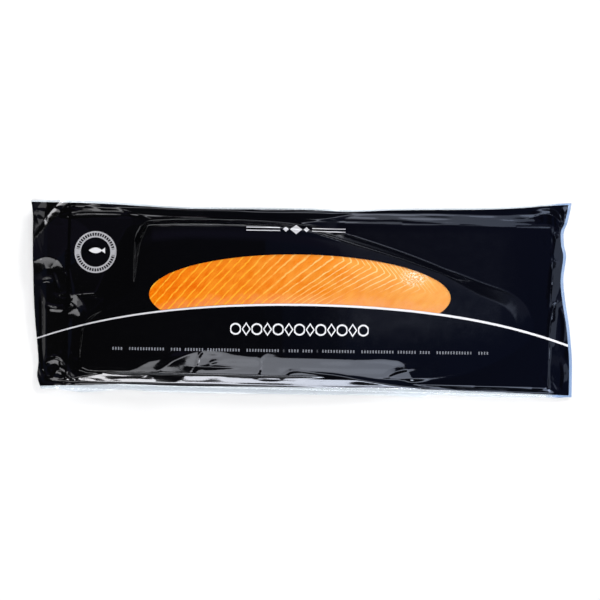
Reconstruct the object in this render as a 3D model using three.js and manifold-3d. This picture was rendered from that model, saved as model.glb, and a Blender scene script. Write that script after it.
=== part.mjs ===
// A long vacuum pack of smoked salmon, lying flat with its printed face up.
// A whole side of salmon lies on a stiff card, and a film pouch is drawn tight over both. The pouch is
// black but for a clear lens-shaped window over the fish, and its welded rim is lifted off the table.
// Millimetres, +Z up, +X along the pack towards the thin end of the fish, +Y towards the thick back.
import * as THREE from 'three';
import { mergeVertices } from 'three/addons/utils/BufferGeometryUtils.js';
import Module from 'manifold-3d';

// ---------------------------------------------------------------- driving dimensions
const FILM = 0.4; // wall of the pouch
const GAP = 0.3; // clearance between pieces that touch

// Card under the fish: a rounded rectangle, lying a little askew in the pouch.
const CARD = { length: 519, width: 173, thick: 1.6, corner: 4, x: 8, y: -4.5, turn: -0.7 };

// The pouch's outer edge, side by side. Each side runs left to right or bottom to top.
const RIM_LEFT = [[-279.5, -102], [-283.5, -88], [-282.5, -70], [-286.5, -28], [-288.5, 4], [-289.7, 47],
  [-290.2, 83], [-292.5, 100.5]];
const RIM_RIGHT = [[292, -103.5], [292, -68], [290.5, -47], [288, -25.5], [283.5, 1], [281.5, 23], [284, 47.5],
  [281.5, 60], [281, 74], [284.5, 83], [287.5, 96], [289, 105.5]];
const RIM_BOTTOM = [[-279.5, -102], [-263, -102], [-242.5, -104.6], [-230, -105], [-189, -102], [-153, -103.7],
  [-81, -104.4], [17.5, -104.5], [84, -104], [129, -105.4], [143, -102.8], [209, -104.4], [275, -104], [292, -103.5]];
const RIM_TOP = [[-292.5, 100.5], [-224, 100.5], [-175.5, 98], [-121.5, 95.5], [-3.5, 96], [50, 94.6], [104, 97],
  [190, 98.8], [233, 101], [259.5, 103.5], [289, 105.5]];
// Height of the weld's upper face past each side of the card, by distance from the card's edge.
const RIM_PROFILE = {
  left: [[0, 2.6], [1.5, 1.4], [14, 1.1], [24, 1.5], [28, 2], [34, 5], [40, 7]],
  right: [[0, 2.6], [1.8, 1.9], [6, 1.5], [14, 1.2], [24, 1.1]],
  top: [[0, 2.6], [1.2, 2.6], [7.2, 1.4], [12, 1.1], [20, 1.6]],
  bottom: [[0, 2.6], [5.4, 1.2], [8.5, 1.2], [14, 4]],
};
const SEAL_HEIGHT = 1.1; // least height of the ramps' foot
const SIDE_BLEND = 5; // over which one side's profile passes into the next at a corner
const STAND_OFF = 4.8; // how far past the card's edge the films stay apart
const CLOSE_OVER = 5.5; // and over what further distance they come together
// Off the two long sides the film spans straight from the fish down to the weld: where that ramp starts off
// the card, its slope up to a bend and above it, and its height by distance along the pack.
const BELLY_WALL = { foot: 5.6, slope: 0.72, bend: 6.4, upperSlope: 0.5,
  height: [[-255, 0], [-238, 4], [-200, 8.4], [-150, 11.5], [-20, 11.5], [50, 8.4], [90, 3.6], [125, 1.6], [175, 0]] };
const BACK_WALL = { foot: 9.5, slope: 0.55, bend: 30, upperSlope: 0.55,
  height: [[-190, 0], [-160, 8], [-20, 8], [20, 5], [50, 0]] };

// The side of salmon: its thick back is the upper edge, its thin belly the lower edge.
const BACK_EDGE = [[-239, -80], [-238, -54], [-234, -25], [-220, 5], [-204.5, 39.5], [-194, 61], [-182, 75],
  [-143, 78.5], [-89, 79], [-35.5, 77.5], [7.5, 74], [50.5, 64.5], [104.5, 49], [147.5, 34.5], [190.5, 21],
  [223, 10], [242, -6], [249.5, -27]];
const BELLY_EDGE = [[-239, -80], [-230, -84.5], [-205, -85.5], [-162, -85.5], [-108, -86.5], [-22.5, -87.5],
  [52.5, -88], [128, -88.5], [165, -83], [192, -74], [213.5, -64], [235, -52], [246.5, -42], [249.5, -27]];
// Its section rises straight from the belly to a ridge near the back and falls behind it. These give, by
// distance along the pack, the most that the ridge may stand, the thickness at the belly's edge, the line
// below which the belly bends down, where the ridge lies between belly (0) and back (1), how steeply the
// back falls behind it, and over what width the back's edge slopes off at the left end.
const THICKNESS = [[-240, 4], [-215, 13], [-190, 22], [-160, 29], [-120, 32], [-40, 32], [40, 27], [110, 19],
  [180, 9.5], [215, 4.8], [250, 0.8]];
const BELLY_THICKNESS = [[-240, 3], [-200, 7.4], [-150, 9.5], [-20, 9.5], [50, 7.4], [110, 2.8], [140, 0.2],
  [250, 0]];
const BEND_LINE = [[-240, -90], [-196, -87], [-162, -71.6], [-98, -58], [-55, -64.7], [104, -67], [112, -72],
  [122, -90], [260, -90]];
const RIDGE = [[-240, 0.97], [-150, 0.98], [0, 0.98], [60, 0.96], [250, 0.95]];
const BACK_SLOPE = [[-30, 0.5], [30, 2.2]];
const SIDE_WALL = [[-240, 38], [-180, 34], [-166, 0], [250, 0]];
const RISE_SLOPE = 0.145;
const BEND_SLOPE = 0.13;
const SHOULDER = { reach: 34, round: 0.0036 }; // how the ridge is rounded on its belly side
const EDGE_WIDTH = 2.4; // over which the fish's edge falls off everywhere
const CUT_EDGE = 1; // least thickness of the fish
const LEAST = 0.4; // and where the film's facets leave it less room

// The clear window: an ellipse cut off below by the printed line, there an arc of a large circle.
const WINDOW = { x: -2, y: 1.3, halfLength: 161.4, halfWidth: 44.3 };
const LINE_ARC = { x: 1, top: -6.8, radius: 1268 };

// Film drawn down by the vacuum: the raster that it is worked out on, and how hard it is drawn.
const RASTER = 3;
const PULL = 0.32;
const PULL_ROUNDS = 120;

// Grid lines of the pouch as [end, steps], from 0 to 1 along its length and its width.
const LENGTH_STEPS = [[0.036, 3], [0.078, 5], [0.95, 34], [0.985, 4], [1, 1]];
const WIDTH_STEPS = [[0.02, 1], [0.1, 4], [0.24, 3], [0.86, 9], [0.96, 5], [1, 1]];
const UNDER_CARD = { length: [8, 42], width: [5, 18] }; // grid lines round the flat base
const FISH_STATIONS = 44;
const FISH_STRIPS = [[0.03, 2], [0.12, 2], [0.88, 7], [0.97, 2], [1, 2]];
const FISH_CLEARANCE = 0.35; // under the film's facets

// ---------------------------------------------------------------- small helpers
const clamp01 = (value) => Math.min(1, Math.max(0, value));
const spline = (points) => new THREE.SplineCurve(points.map(([x, y]) => new THREE.Vector2(x, y)));

function lines(steps) {
  const at = [0];
  for (const [end, count] of steps) {
    const start = at[at.length - 1];
    for (let i = 1; i <= count; i++) at.push(start + ((end - start) * i) / count);
  }
  return at;
}

// Height of a polyline at x, its points in order of x.
function heightAlong(points, x) {
  if (x <= points[0][0]) return points[0][1];
  for (let i = 1; i < points.length; i++) {
    const [x0, y0] = points[i - 1];
    const [x1, y1] = points[i];
    if (x <= x1) return y0 + ((y1 - y0) * (x - x0)) / (x1 - x0);
  }
  return points[points.length - 1][1];
}

// A closed body from a list of triangles, each three [x, y, z] corners. Flat ones are left out.
function bodyOf(triangles) {
  const key = (p) => p.map((value) => value.toFixed(5)).join();
  const kept = triangles.filter(([a, b, c]) => key(a) !== key(b) && key(b) !== key(c) && key(c) !== key(a));
  const geometry = new THREE.BufferGeometry();
  geometry.setAttribute('position', new THREE.Float32BufferAttribute(kept.flat(2), 3));
  return mergeVertices(geometry, 1e-4);
}

const quad = (a, b, c, d) => [[a, b, c], [a, c, d]];

// ---------------------------------------------------------------- the card and the fish as heights
const CARD_FLOOR = FILM + GAP;
const CARD_TOP = CARD_FLOOR + CARD.thick;
const FISH_FLOOR = CARD_TOP + GAP;

// A point in the card's own axes.
function onCard(x, y) {
  const turn = THREE.MathUtils.degToRad(CARD.turn);
  const [dx, dy] = [x - CARD.x, y - CARD.y];
  return [dx * Math.cos(turn) + dy * Math.sin(turn), dy * Math.cos(turn) - dx * Math.sin(turn)];
}

// How far a point lies outside the card, below zero inside it.
function outsideCard(x, y) {
  const [cx, cy] = onCard(x, y);
  const dx = Math.abs(cx) - CARD.length / 2 + CARD.corner;
  const dy = Math.abs(cy) - CARD.width / 2 + CARD.corner;
  return Math.hypot(Math.max(dx, 0), Math.max(dy, 0)) + Math.min(Math.max(dx, dy), 0) - CARD.corner;
}

const traced = (points) => spline(points).getPoints(160).map((point) => [point.x, point.y]);
const backEdge = traced(BACK_EDGE);
const bellyEdge = traced(BELLY_EDGE);
const fishOutline = [...backEdge, ...bellyEdge.slice().reverse()].filter((_, index) => index % 3 === 0);
const [tipLeft, tipRight] = [BACK_EDGE[0][0], BACK_EDGE[BACK_EDGE.length - 1][0]];

function distanceToFishOutline(x, y) {
  let best = Infinity;
  for (let i = 0; i < fishOutline.length; i++) {
    const [ax, ay] = fishOutline[i];
    const [bx, by] = fishOutline[(i + 1) % fishOutline.length];
    const [ex, ey] = [bx - ax, by - ay];
    const along = clamp01(((x - ax) * ex + (y - ay) * ey) / (ex * ex + ey * ey || 1));
    best = Math.min(best, Math.hypot(x - ax - ex * along, y - ay - ey * along));
  }
  return best;
}

// Thickness of the fish over a point of the card, or 0 beside it.
function fishThickness(x, y) {
  if (x < tipLeft || x > tipRight) return 0;
  const [low, high] = [heightAlong(bellyEdge, x), heightAlong(backEdge, x)];
  if (y < low || y > high) return 0;
  const ridge = low + (high - low) * heightAlong(RIDGE, x);
  const atBelly = heightAlong(BELLY_THICKNESS, x);
  const full = Math.min(heightAlong(THICKNESS, x), atBelly + RISE_SLOPE * (ridge - low));
  let height = atBelly + (full - atBelly) * clamp01((y - low) / Math.max(ridge - low, 1e-6));
  height -= BEND_SLOPE * Math.max(heightAlong(BEND_LINE, x) - y, 0);
  const reach = Math.min(SHOULDER.reach, (ridge - low) / 4);
  height -= SHOULDER.round * THREE.MathUtils.clamp(y - ridge + reach, 0, reach) ** 2;
  height -= heightAlong(BACK_SLOPE, x) * Math.max(y - ridge, 0);
  const edgeWidth = EDGE_WIDTH + heightAlong(SIDE_WALL, x) * THREE.MathUtils.smoothstep(y, -40, 10);
  const edgePart = clamp01((distanceToFishOutline(x, y) + EDGE_WIDTH / 2) / (edgeWidth + EDGE_WIDTH / 2));
  return Math.max(height * edgePart, CUT_EDGE);
}

// Middle of the welded rim: the profile of the nearest side, blended at the corners.
function rimHeight(x, y) {
  const [cx, cy] = onCard(x, y);
  const past = { left: -cx - CARD.length / 2, right: cx - CARD.length / 2, top: cy - CARD.width / 2,
    bottom: -cy - CARD.width / 2 };
  let [height, weight] = [0, 0];
  for (const [side, away] of Object.entries(past)) {
    const pull = Math.exp(THREE.MathUtils.clamp(away / SIDE_BLEND, -30, 30));
    height += pull * heightAlong(RIM_PROFILE[side], Math.max(away, 0));
    weight += pull;
  }
  return height / weight - FILM;
}

// Height of the ramp that the film makes from the weld up to the fish, on one long side.
function wallHeight(x, away, shape) {
  const rise = (shape.foot - away) * shape.slope;
  const upper = shape.bend + ((rise - shape.bend) * shape.upperSlope) / shape.slope;
  return THREE.MathUtils.clamp(Math.min(rise, upper), 0, heightAlong(shape.height, x));
}

// ---------------------------------------------------------------- the film drawn over the contents
// What the upper film may not sink below: the bare card, the fish, the welded rim outside the card, and the
// ramps along the long sides.
function underFilm(x, y) {
  const [, cy] = onCard(x, y);
  const away = Math.abs(cy) - CARD.width / 2;
  const ramp = SEAL_HEIGHT + wallHeight(x, away, cy < 0 ? BELLY_WALL : BACK_WALL);
  if (outsideCard(x, y) > STAND_OFF) return Math.max(rimHeight(x, y) + FILM, ramp);
  const fish = fishThickness(x, y);
  return Math.max((fish > 0 ? FISH_FLOOR + fish : CARD_TOP) + GAP + FILM, ramp);
}

// The film spans sharp steps and is drawn down on everything else.
function drawnFilm() {
  const [halfX, halfY] = [102, 39];
  const [countX, countY] = [2 * halfX + 1, 2 * halfY + 1];
  const floor = new Float64Array(countX * countY);
  for (let j = 0; j < countY; j++) {
    for (let i = 0; i < countX; i++) floor[j * countX + i] = underFilm((i - halfX) * RASTER, (j - halfY) * RASTER);
  }
  let film = floor.slice();
  for (let round = 0; round < PULL_ROUNDS; round++) {
    const next = film.slice();
    for (let j = 1; j < countY - 1; j++) {
      for (let i = 1; i < countX - 1; i++) {
        const k = j * countX + i;
        const mean = (film[k - 1] + film[k + 1] + film[k - countX] + film[k + countX]) / 4;
        next[k] = Math.max(floor[k], mean - PULL);
      }
    }
    film = next;
  }
  return (x, y) => {
    const fx = Math.min(countX - 1.001, Math.max(0, x / RASTER + halfX));
    const fy = Math.min(countY - 1.001, Math.max(0, y / RASTER + halfY));
    const [i, j] = [Math.floor(fx), Math.floor(fy)];
    const [a, b] = [fx - i, fy - j];
    const k = j * countX + i;
    const low = film[k] * (1 - a) + film[k + 1] * a;
    const high = film[k + countX] * (1 - a) + film[k + countX + 1] * a;
    return low * (1 - b) + high * b;
  };
}
const filmHeight = drawnFilm();

// ---------------------------------------------------------------- the pouch as a grid between its four sides
const [rimLeft, rimRight, rimBottom, rimTop] = [RIM_LEFT, RIM_RIGHT, RIM_BOTTOM, RIM_TOP].map(spline);
const lengthLines = lines(LENGTH_STEPS);
const widthLines = lines(WIDTH_STEPS);

function pouchPoint(u, v) {
  const [left, right, bottom, top] = [rimLeft.getPointAt(v), rimRight.getPointAt(v), rimBottom.getPointAt(u),
    rimTop.getPointAt(u)];
  const corner = (curve, end) => curve.getPointAt(end);
  const mix = (axis) => (1 - v) * bottom[axis] + v * top[axis] + (1 - u) * left[axis] + u * right[axis]
    - (1 - u) * (1 - v) * corner(rimBottom, 0)[axis] - u * (1 - v) * corner(rimBottom, 1)[axis]
    - (1 - u) * v * corner(rimTop, 0)[axis] - u * v * corner(rimTop, 1)[axis];
  return [mix('x'), mix('y')];
}

// Every crossing of the grid: where it lies, and the heights of the two films' outer faces. The outermost
// strip all round is the weld.
const crossings = lengthLines.map((u, i) => widthLines.map((v, j) => {
  const [x, y] = pouchPoint(u, v);
  const outside = outsideCard(x, y);
  const sealed = i < 2 || j < 2 || i > lengthLines.length - 3 || j > widthLines.length - 3;
  const weld = rimHeight(x, y);
  if (sealed || outside > STAND_OFF + CLOSE_OVER) return { x, y, low: weld - FILM, high: weld + FILM };
  const low = (weld - FILM) * THREE.MathUtils.smoothstep(outside, STAND_OFF, STAND_OFF + CLOSE_OVER);
  const high = filmHeight(x, y);
  return { x, y, low, high: Math.max(high, low + 2 * FILM) };
}));

// A closed body between two sheets over the whole grid or the part of it that is open. Each sheet gives the
// height at a crossing, and both sheets meet where the body closes.
function betweenSheets(highOf, lowOf, isOpen) {
  const triangles = [];
  const [countU, countV] = [lengthLines.length - 1, widthLines.length - 1];
  const at = (i, j, heightOf) => [crossings[i][j].x, crossings[i][j].y, heightOf(crossings[i][j], i, j)];
  const used = (i, j) => i >= 0 && j >= 0 && i < countU && j < countV
    && [[i, j], [i + 1, j], [i + 1, j + 1], [i, j + 1]].some(([a, b]) => isOpen(a, b));
  const [fromU, toU] = UNDER_CARD.length;
  const [fromV, toV] = UNDER_CARD.width;
  for (let i = 0; i < countU; i++) {
    for (let j = 0; j < countV; j++) {
      if (!used(i, j)) continue;
      const ring = [[i, j], [i + 1, j], [i + 1, j + 1], [i, j + 1]];
      triangles.push(...quad(...ring.map(([a, b]) => at(a, b, highOf))));
      const flat = i >= fromU && i < toU && j >= fromV && j < toV;
      if (!flat) triangles.push(...quad(...ring.map(([a, b]) => at(a, b, lowOf)).reverse()));
      const sides = [[[i, j], [i + 1, j], used(i, j - 1)], [[i + 1, j], [i + 1, j + 1], used(i + 1, j)],
        [[i + 1, j + 1], [i, j + 1], used(i, j + 1)], [[i, j + 1], [i, j], used(i - 1, j)]];
      for (const [a, b, neighbour] of sides) {
        if (!neighbour) triangles.push(...quad(at(...a, lowOf), at(...b, lowOf), at(...b, highOf), at(...a, highOf)));
      }
    }
  }
  // the flat base as one polygon
  const border = [];
  for (let i = fromU; i < toU; i++) border.push(at(i, fromV, lowOf));
  for (let j = fromV; j < toV; j++) border.push(at(toU, j, lowOf));
  for (let i = toU; i > fromU; i--) border.push(at(i, toV, lowOf));
  for (let j = toV; j > fromV; j--) border.push(at(fromU, j, lowOf));
  const flatFaces = THREE.ShapeUtils.triangulateShape(border.map(([x, y]) => new THREE.Vector2(x, y)), []);
  for (const [a, b, c] of flatFaces) triangles.push([border[a], border[c], border[b]]);
  return bodyOf(triangles);
}

// ---------------------------------------------------------------- joining and cutting
const wasm = await Module();
wasm.setup();

function solidOf(geometry) {
  const bare = geometry.clone();
  bare.deleteAttribute('normal');
  bare.deleteAttribute('uv');
  const merged = mergeVertices(bare, 1e-4);
  return new wasm.Manifold(new wasm.Mesh({
    numProp: 3,
    vertProperties: new Float32Array(merged.attributes.position.array),
    triVerts: new Uint32Array(merged.index.array),
  }));
}

function geometryOf(solid) {
  const mesh = solid.getMesh();
  const geometry = new THREE.BufferGeometry();
  geometry.setAttribute('position', new THREE.Float32BufferAttribute(mesh.vertProperties, 3));
  geometry.setIndex(Array.from(mesh.triVerts));
  return geometry;
}

// ---------------------------------------------------------------- the pieces
// The window's outline, drawn in by an inset on every side, as an upright prism through the upper film.
function windowPrism(inset) {
  const [halfLength, halfWidth] = [WINDOW.halfLength - inset, WINDOW.halfWidth - inset];
  const circle = { x: LINE_ARC.x, y: LINE_ARC.top - LINE_ARC.radius, radius: LINE_ARC.radius + inset };
  const above = (angle) => {
    const [x, y] = [WINDOW.x + halfLength * Math.cos(angle), WINDOW.y + halfWidth * Math.sin(angle)];
    return Math.hypot(x - circle.x, y - circle.y) - circle.radius;
  };
  const crossing = (outside, inside) => {
    let [a, b] = [outside, inside];
    for (let step = 0; step < 50; step++) {
      const middle = (a + b) / 2;
      if (above(middle) < 0) a = middle;
      else b = middle;
    }
    return b;
  };
  const right = crossing(-Math.PI / 2, 0);
  const left = crossing(1.5 * Math.PI, Math.PI);
  const shape = new THREE.Shape();
  shape.absellipse(WINDOW.x, WINDOW.y, halfLength, halfWidth, right, left, false);
  const turnOf = (angle) => Math.atan2(WINDOW.y + halfWidth * Math.sin(angle) - circle.y,
    WINDOW.x + halfLength * Math.cos(angle) - circle.x);
  shape.absarc(circle.x, circle.y, circle.radius, turnOf(left), turnOf(right), true);
  shape.closePath();
  const prism = new THREE.ExtrudeGeometry(shape, { depth: 60, bevelEnabled: false, curveSegments: 44 });
  prism.translate(0, 0, FISH_FLOOR);
  return solidOf(prism);
}

// The hollow of the pouch, drawn in by an inset. It closes along the weld.
function hollowBody(inset) {
  const wall = FILM + inset;
  const isClosed = (node) => node.high - node.low < 2 * wall + 0.02;
  const middle = (node) => (node.high + node.low) / 2;
  return solidOf(betweenSheets(
    (node) => (isClosed(node) ? middle(node) : node.high - wall),
    (node) => (isClosed(node) ? middle(node) : node.low + wall),
    (i, j) => !isClosed(crossings[i][j]),
  ));
}

// The welded envelope: its outer faces less the hollow that holds card and fish.
const outer = solidOf(betweenSheets((node) => node.high, (node) => node.low, () => true));
const hollow = hollowBody(0);
const envelope = outer.subtract(hollow);
const pouch = geometryOf(envelope.subtract(windowPrism(0)));
const windowPane = geometryOf(envelope.intersect(windowPrism(GAP)));

// Height of the hollow's ceiling over a point.
const hollowMesh = new THREE.Mesh(geometryOf(hollow));
const probe = new THREE.Raycaster();

function ceilingAt(x, y) {
  probe.set(new THREE.Vector3(x, y, 100), new THREE.Vector3(0, 0, -1));
  const [hit] = probe.intersectObject(hollowMesh);
  return hit ? hit.point.z : FISH_FLOOR;
}

function fishBody() {
  const triangles = [];
  const stations = [];
  const strips = lines(FISH_STRIPS);
  const last = strips.length - 1;
  for (let i = 0; i <= FISH_STATIONS; i++) {
    const x = tipLeft + ((tipRight - tipLeft) * (1 - Math.cos((Math.PI * i) / FISH_STATIONS))) / 2;
    const [low, high] = [heightAlong(bellyEdge, x), heightAlong(backEdge, x)];
    const section = strips.map((across) => {
      const y = low + (high - low) * across;
      const room = ceilingAt(x, y) - FISH_CLEARANCE;
      return [x, y, Math.max(FISH_FLOOR + LEAST, Math.min(FISH_FLOOR + fishThickness(x, y), room))];
    });
    if (i === 0 || i === FISH_STATIONS) section.forEach((point) => { point[2] = FISH_FLOOR + LEAST; });
    stations.push(section);
  }
  const onFloor = ([x, y]) => [x, y, FISH_FLOOR];
  for (let i = 0; i < FISH_STATIONS; i++) {
    const [here, next] = [stations[i], stations[i + 1]];
    for (let j = 0; j < last; j++) triangles.push(...quad(here[j], next[j], next[j + 1], here[j + 1]));
    triangles.push(...quad(...[here[0], here[last], next[last], next[0]].map(onFloor)));
    triangles.push(...quad(onFloor(here[0]), onFloor(next[0]), next[0], here[0]));
    triangles.push(...quad(onFloor(next[last]), onFloor(here[last]), here[last], next[last]));
  }
  return bodyOf(triangles);
}

// Nowhere does the fish reach through the film's facets.
const salmonSide = geometryOf(solidOf(fishBody()).intersect(hollowBody(GAP)));

function cardBody() {
  const { length, width, corner } = CARD;
  const [halfX, halfY] = [length / 2 - corner, width / 2 - corner];
  const shape = new THREE.Shape();
  const turns = [[1, -1, -0.5, 0], [1, 1, 0, 0.5], [-1, 1, 0.5, 1], [-1, -1, 1, 1.5]];
  for (const [sx, sy, start, end] of turns) {
    shape.absarc(sx * halfX, sy * halfY, corner, start * Math.PI, end * Math.PI, false);
  }
  shape.closePath();
  return new THREE.ExtrudeGeometry(shape, { depth: CARD.thick, bevelEnabled: false, curveSegments: 5 });
}

// ---------------------------------------------------------------- the pack
function piece(name, geometry, material) {
  const mesh = new THREE.Mesh(geometry, new THREE.MeshStandardMaterial(material));
  mesh.name = name;
  return mesh;
}

const card = piece('card', cardBody(), { color: 0xc9a24a, roughness: 0.35, metalness: 0.6 });
card.position.set(CARD.x, CARD.y, CARD_FLOOR);
card.rotation.z = THREE.MathUtils.degToRad(CARD.turn);

const pack = new THREE.Group();
pack.add(
  piece('pouch', pouch, { color: 0x06070c, roughness: 0.15, metalness: 0 }),
  piece('window_pane', windowPane, { color: 0xffffff, roughness: 0.08, metalness: 0, transparent: true, opacity: 0.2 }),
  piece('salmon_side', salmonSide, { color: 0xf08a3c, roughness: 0.4, metalness: 0 }),
  card,
);

// The origin is under the middle of the pouch's box.
const box = new THREE.Box3().setFromBufferAttribute(pouch.attributes.position);
const centre = box.getCenter(new THREE.Vector3());
pack.position.set(-centre.x, -centre.y, -box.min.z);

export default pack;
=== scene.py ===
# %% [markdown]
# # A vacuum pack of smoked salmon
# A whole side of smoked salmon lies on a stiff card inside a long film pouch. The pouch is printed black,
# with a clear lens-shaped window over the fish, and a vacuum has drawn it tight over everything in it.
# This lesson builds the film, the fish and the light that makes glossy black film look like film. Black
# gloss has almost no colour of its own: what one sees is the room in it, bent by every fold.
# Geometry Nodes are at their best where a shape repeats or runs along a path, and nothing solid here does.
# The film settles over hundreds of rounds, and has to fit closely over fish and card. So NumPy works out the
# heights of film and fish, for a whole grid of points at once, and each becomes a plain mesh.
# Lengths are in millimetres here, and become metres where a mesh is made.

# %% The packed frame
import math

import bpy
import numpy as np
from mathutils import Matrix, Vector


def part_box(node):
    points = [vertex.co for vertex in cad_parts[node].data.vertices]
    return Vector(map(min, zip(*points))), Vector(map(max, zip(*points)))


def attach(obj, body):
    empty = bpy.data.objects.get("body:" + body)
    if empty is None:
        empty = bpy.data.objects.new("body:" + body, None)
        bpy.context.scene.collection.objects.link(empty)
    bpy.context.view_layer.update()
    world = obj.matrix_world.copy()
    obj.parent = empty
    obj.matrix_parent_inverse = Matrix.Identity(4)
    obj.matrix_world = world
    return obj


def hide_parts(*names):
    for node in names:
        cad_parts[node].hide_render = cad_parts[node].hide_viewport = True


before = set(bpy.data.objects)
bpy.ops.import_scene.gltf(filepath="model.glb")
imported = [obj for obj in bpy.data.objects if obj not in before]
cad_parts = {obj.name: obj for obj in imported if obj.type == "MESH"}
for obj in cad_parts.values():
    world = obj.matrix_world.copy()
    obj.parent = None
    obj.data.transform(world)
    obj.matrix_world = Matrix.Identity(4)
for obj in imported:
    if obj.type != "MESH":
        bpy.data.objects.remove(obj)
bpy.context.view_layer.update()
MM = 0.001
print("frame nodes:", sorted(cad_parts))

# %% [markdown]
# ## The camera
# The pack lies flat and is seen from straight above, a little turned. A long lens from far up keeps the
# sides parallel, so the walls of the pack stay hidden and only the light tells of its height. A camera
# without perspective would do that too, but then every level spot would mirror the same point of the ceiling.

# %% Camera
CAMERA_HEIGHT = 2500
VIEW_WIDTH = 644.4
VIEW_CENTRE = (-1.9, -2.85)
VIEW_TURN = 0.8
PACK_HEIGHT = 8  # the level at which the view is VIEW_WIDTH wide

camera_data = bpy.data.cameras.new("overhead")
camera_data.sensor_width = 36
camera_data.lens = camera_data.sensor_width * CAMERA_HEIGHT / VIEW_WIDTH
camera_data.clip_end = 20
camera = bpy.data.objects.new("overhead", camera_data)
camera.location = Vector((*VIEW_CENTRE, CAMERA_HEIGHT + PACK_HEIGHT)) * MM
camera.rotation_euler = (0, 0, math.radians(VIEW_TURN))
bpy.context.scene.collection.objects.link(camera)
bpy.context.scene.camera = camera
bpy.context.scene.view_settings.view_transform = "Standard"
print("lens:", round(camera_data.lens, 1), "mm")

# %% [markdown]
# ## Lines and tables
# The outlines of a soft pack are smooth, yet a few measured points describe them. Bezier curve objects could
# join the points, but their places are awkward to read back, so a small function draws the line. It spaces
# its points evenly, and four such lines can then carry a grid between them.

# %% A smooth line through points
STEPS_BETWEEN_POINTS = 24


def smooth_line(points, count):
    """Points on a smooth line through the given ones: a count of even steps, or at given parts of it."""
    points = np.array(points, float)
    padded = np.vstack([points[0], points, points[-1]])
    steps = np.linspace(0, 1, STEPS_BETWEEN_POINTS, endpoint=False)[:, None]
    drawn = []
    for before, start, end, after in zip(padded, padded[1:], padded[2:], padded[3:]):
        pull_in, pull_out = (end - before) / 2, (after - start) / 2
        drawn.append(
            start
            + pull_in * steps
            + (3 * (end - start) - 2 * pull_in - pull_out) * steps**2
            + (2 * (start - end) + pull_in + pull_out) * steps**3
        )
    drawn = np.vstack([*drawn, points[-1:]])
    length = np.concatenate([[0], np.cumsum(np.hypot(*np.diff(drawn, axis=0).T))])
    at = np.linspace(0, 1, count) if np.isscalar(count) else np.asarray(count)
    at = at * length[-1]
    return np.stack([np.interp(at, length, drawn[:, 0]), np.interp(at, length, drawn[:, 1])], -1)


print("a line over a corner:", smooth_line([(0, 0), (1, 1), (2, 0)], 5).round(2).tolist())

# %% [markdown]
# A size that changes slowly along the pack, such as the thickness of the fish, is a short table, read with
# straight lines between its rows. A soft step fades one thing into another.

# %% Tables and soft steps
def table_at(rows, x):
    """Reads a table of (place, value) rows at x."""
    places, values = zip(*rows)
    return np.interp(x, places, values)


def smooth_step(low, high, x):
    """0 up to low, 1 from high on, and a soft slope between. It runs the other way where high is less."""
    part = np.clip((x - low) / (high - low), 0, 1)
    return part * part * (3 - 2 * part)


print("a quarter of the way up a soft step:", smooth_step(0, 1, 0.25))

# %% [markdown]
# Walls and folds both follow lines. To shape them, each point of the sheet has to know how far it is from
# the line, on which side, and next to which part of it. The line is a chain of straight pieces here, and
# each piece is tried in turn.

# %% Distance to a line
def distance_to_line(x, y, line):
    """Distance to a line, how far along it the nearest point lies (0 to 1), and the side (+1 is left)."""
    best = np.full(np.shape(x), np.inf)
    along = np.zeros(np.shape(x))
    side = np.zeros(np.shape(x))
    for k, (a, b) in enumerate(zip(line, line[1:])):
        edge = b - a
        part = np.clip(((x - a[0]) * edge[0] + (y - a[1]) * edge[1]) / max(edge @ edge, 1e-9), 0, 1)
        ox, oy = x - a[0] - edge[0] * part, y - a[1] - edge[1] * part
        away = np.hypot(ox, oy)
        closer = away < best
        best = np.where(closer, away, best)
        along = np.where(closer, (k + part) / (len(line) - 1), along)
        side = np.where(closer, np.sign(edge[0] * oy - edge[1] * ox), side)
    return best, along, side


sample = distance_to_line(np.array([1.0]), np.array([3.0]), np.array([(0.0, 0.0), (4.0, 0.0)]))
print("3 above a line, a quarter along it:", [float(value[0]) for value in sample])

# %% [markdown]
# ## The card
# A stiff card keeps the fish straight. It is a rounded rectangle that lies a little askew in its pouch, and
# its edges show through the film. The card itself comes from the frame. Here its outline is written as a
# distance, because the film has to know at each point whether it lies on the card or past it.

# %% Where the card lies
FILM_GAP = 0.3
CARD = {"length": 519, "width": 173, "corner": 4, "x": 8.2, "y": -4.55, "turn": -0.7}
CARD_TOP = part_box("card")[1].z / MM


def card_axes(x, y):
    """A place as seen from the card: along it and across it, from its middle."""
    turn = math.radians(CARD["turn"])
    dx, dy = x - CARD["x"], y - CARD["y"]
    return dx * math.cos(turn) + dy * math.sin(turn), dy * math.cos(turn) - dx * math.sin(turn)


def outside_card(x, y):
    """How far a point lies outside the card, below zero on it."""
    cx, cy = card_axes(x, y)
    dx = np.abs(cx) - CARD["length"] / 2 + CARD["corner"]
    dy = np.abs(cy) - CARD["width"] / 2 + CARD["corner"]
    past_corner = np.hypot(np.maximum(dx, 0), np.maximum(dy, 0))
    return past_corner + np.minimum(np.maximum(dx, dy), 0) - CARD["corner"]


print("card top at", round(CARD_TOP, 2), "mm")

# %% [markdown]
# ## The shape of the fish
# A side of salmon has a thick back, a thin belly and a long flat tail. It could be sculpted, but the film
# has to lie on it without a gap, so fish and film read the same rule. Two lines give the outline, the back
# above and the belly below.

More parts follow.
